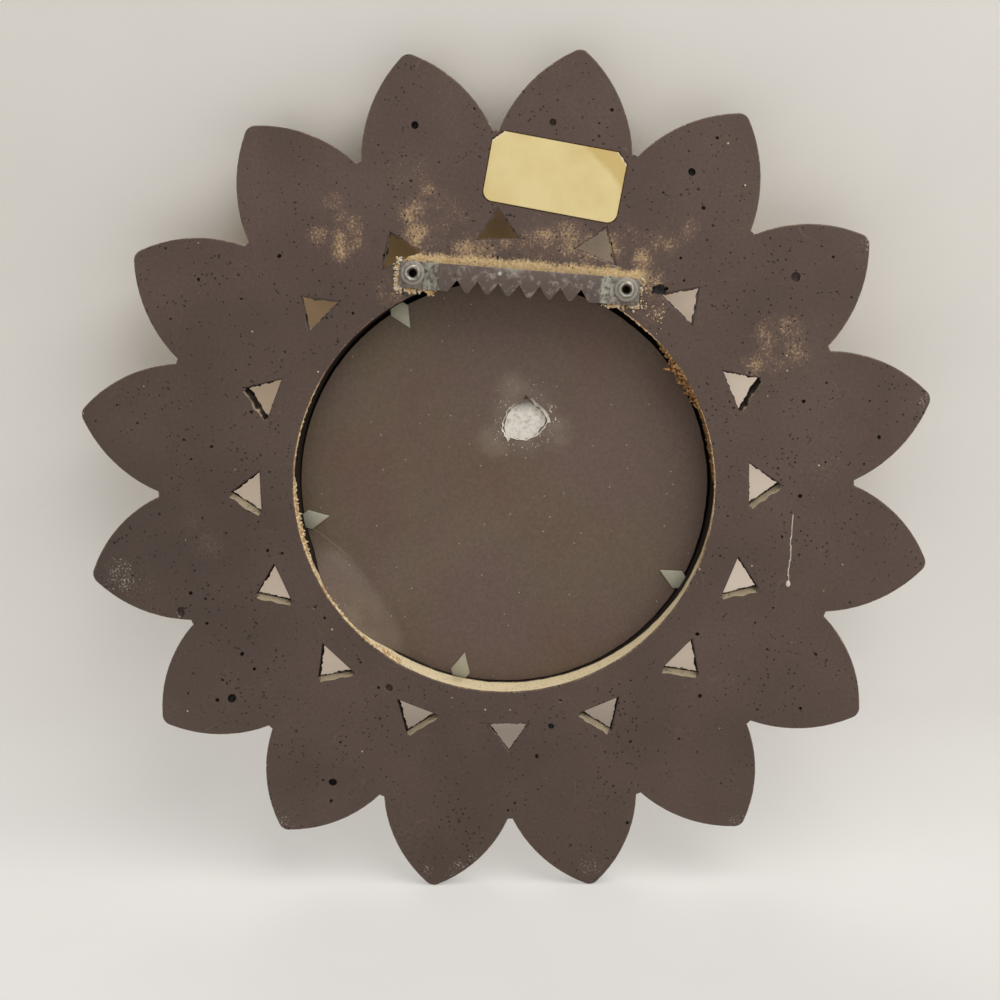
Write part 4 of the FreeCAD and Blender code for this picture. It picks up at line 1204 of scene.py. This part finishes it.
def studio_paper(look, name, one_sided):
    """Matt seamless paper, lit from behind for the camera. One-sided paper shows only its front, and stops no
    light."""
    material, add, place = start_material(name)
    tooth = add("TexNoise", place, per_mm(60), 3.0)
    shade = add("MapRange", tooth, 0.3, 0.7, 0.985, 1.015)
    sheet = add("VectorMath", tuple(look.paper)[:3], shade, operation="MULTIPLY")
    if one_sided:
        # painted contact shade from the mirror where it nearly touches the paper, weaker on the -X side where more
        # light comes in
        near = add("AmbientOcclusion", Distance=16 * MM, out="AO", samples=8)
        across = add("SeparateXYZ", place, out="X")
        open_side = add("MapRange", across, -75 * MM, 75 * MM, 0.45, 0.72)
        near = add("MapRange", near, 0.1, open_side, 0.16, 1.0)
        sheet = add("VectorMath", sheet, near, operation="MULTIPLY")
        # the mirror's own shade below the middle, no wider than its ring of piercings
        height = add("SeparateXYZ", place, out="Z")
        below = add("MapRange", height, -58 * MM, -82 * MM, 0.0, 0.48)
        flat = add("VectorMath", place, (1, 0, 1), operation="MULTIPLY")
        middle = add("VectorMath", flat, (1.25 * MM, 0, -6.2 * MM), operation="DISTANCE")
        covered = add("MapRange", middle, 93 * MM, 86 * MM)
        below = add("Math", below, covered, operation="MULTIPLY")
        below = add("Math", 1.0, below, operation="SUBTRACT")
        sheet = add("VectorMath", sheet, below, operation="MULTIPLY")
        # painted warm light, as reflected from the gilt front, on the paper that it nearly touches
        sheet = add("Mix", covered, sheet, look.tint, data_type="RGBA", blend_type="MULTIPLY")
    matt = add("BsdfDiffuse", Color=sheet, Roughness=0.3)
    light = add("Emission", Color=sheet, Strength=look.level)
    seen = add("LightPath", out="Is Camera Ray")
    height = add("SeparateXYZ", place, out="Z")
    glow = add("MapRange", height, -100 * MM, 60 * MM, look.glow, look.high_glow)
    if one_sided:
        glow = add("Math", glow, spread(add, flat, SIDE_LIGHT), operation="ADD")
    share = add("Math", seen, glow, operation="MULTIPLY")
    paper = add("MixShader", share, matt, light)
    if one_sided:
        behind = add("NewGeometry", out="Backfacing")
        shown = add("Math", seen, behind, operation="SUBTRACT", use_clamp=True)
        clear = add("BsdfTransparent")
        paper = add("MixShader", shown, clear, paper)
    add("OutputMaterial", Surface=paper)
    return material


def soft_lamp(name, power, size, place):
    lamp = bpy.data.lights.new(name, "AREA")
    lamp.energy = power
    lamp.shape = "SQUARE"
    lamp.size = size
    item = bpy.data.objects.new(name, lamp)
    item.location = place
    item.rotation_euler = (-Vector(place)).to_track_quat("-Z", "Y").to_euler()
    bpy.context.scene.collection.objects.link(item)


class MIRROR_OT_stage(Operator):
    """Sets the paper, the lamps and the camera"""
    bl_idname = "mirror.stage"
    bl_label = "Stage"

    def execute(self, context):
        look = context.scene.mirror_stage
        scene = context.scene
        ground = CAD_BOX[0][2] - 0.1 * MM

        bm = bmesh.new()
        bmesh.ops.create_grid(bm, x_segments=1, y_segments=1, size=2.0)
        bmesh.ops.translate(bm, verts=bm.verts, vec=(0, 0, ground))
        new_object("studio_floor", bm, [studio_paper(look, "floor_paper", False)])

        # sheet that sweeps up from the floor behind the mirror, whose ring leans against it
        bm = bmesh.new()
        foot = ground + 0.05 * MM
        ends = [bm.verts.new((-SHEET_WIDTH / 2, y * MM, foot + height * MM)) for y, height in SHEET_LINE]
        edges = [bm.edges.new((ends[index], ends[index + 1])) for index in range(2)]
        side = verts_of(bmesh.ops.extrude_edge_only(bm, edges=edges)["geom"])
        bmesh.ops.translate(bm, verts=side, vec=(SHEET_WIDTH, 0, 0))
        fold = [edge for edge in bm.edges if len(edge.link_faces) == 2]
        bmesh.ops.bevel(bm, geom=fold, offset=SHEET_BEND * MM, offset_type="OFFSET", affect="EDGES", segments=24,
                        profile=0.5, clamp_overlap=False, material=-1)
        bmesh.ops.recalc_face_normals(bm, faces=bm.faces)
        top = max(bm.faces, key=lambda face: face.calc_center_median().z)
        if top.normal.y < 0:
            bmesh.ops.reverse_faces(bm, faces=bm.faces)
        sheet = new_object("studio_backdrop", bm, [studio_paper(look, "backdrop_paper", True)])
        smooth_by_angle(sheet, 40)

        soft_lamp("key_lamp", look.key, *KEY_LAMP)
        soft_lamp("fill_lamp", look.fill, *FILL_LAMP)
        world = bpy.data.worlds.new("studio_air")
        world.use_nodes = True
        world.node_tree.nodes.clear()
        add = partial(add_node, world.node_tree)
        seen = add("LightPath", out="Is Camera Ray")
        mirrored = add("LightPath", out="Is Glossy Ray")
        shown = add("Math", seen, mirrored, operation="MAXIMUM")
        strength = add("MapRange", shown, 0.0, 1.0, look.sky, look.air)
        air = add("Background", Color=linear("#FFFCF8"), Strength=strength)
        add("OutputWorld", Surface=air)
        scene.world = world

        camera = bpy.data.cameras.new("photo_camera")
        camera.sensor_width = 36
        camera.lens = look.lens
        camera.clip_start = 0.01
        item = bpy.data.objects.new("photo_camera", camera)
        item.location = Vector(CAMERA_PLACE) * MM
        view = (Vector(CAMERA_AIM) - Vector(CAMERA_PLACE)).to_track_quat("-Z", "Y").to_matrix()
        item.rotation_euler = (view @ Matrix.Rotation(math.radians(CAMERA_ROLL), 3, "Z")).to_euler()
        scene.collection.objects.link(item)
        scene.camera = item
        scene.view_settings.view_transform = "Standard"
        return {"FINISHED"}


# Panel and registration

STEPS = ("casting", "card", "hanger", "rivets", "points", "crumbs", "label", "glass", "stage")


class MIRROR_PT_pieces(Panel):
    """Lists the steps that dress the mirror"""
    bl_label = "Sunburst mirror"
    bl_idname = "MIRROR_PT_pieces"
    bl_space_type = "VIEW_3D"
    bl_region_type = "UI"
    bl_category = "Mirror"

    def draw(self, context):
        for step in STEPS:
            self.layout.operator(f"mirror.{step}")


SETTINGS = {
    "mirror_casting": CastingSettings,
    "mirror_card": CardSettings,
    "mirror_hardware": HardwareSettings,
    "mirror_label": LabelSettings,
    "mirror_stage": StageSettings,
}
OPERATORS = (
    MIRROR_OT_casting, MIRROR_OT_card, MIRROR_OT_hanger, MIRROR_OT_rivets, MIRROR_OT_points, MIRROR_OT_crumbs,
    MIRROR_OT_label, MIRROR_OT_glass, MIRROR_OT_stage,
)


def register():
    for name, group in SETTINGS.items():
        bpy.utils.register_class(group)
        setattr(bpy.types.Scene, name, PointerProperty(type=group))
    for operator in OPERATORS:
        bpy.utils.register_class(operator)
    bpy.utils.register_class(MIRROR_PT_pieces)


def unregister():
    bpy.utils.unregister_class(MIRROR_PT_pieces)
    for operator in reversed(OPERATORS):
        bpy.utils.unregister_class(operator)
    for name, group in SETTINGS.items():
        delattr(bpy.types.Scene, name)
        bpy.utils.unregister_class(group)


def main():
    register()
    for step in STEPS:
        getattr(bpy.ops.mirror, step)()


if __name__ == "__main__":
    main()
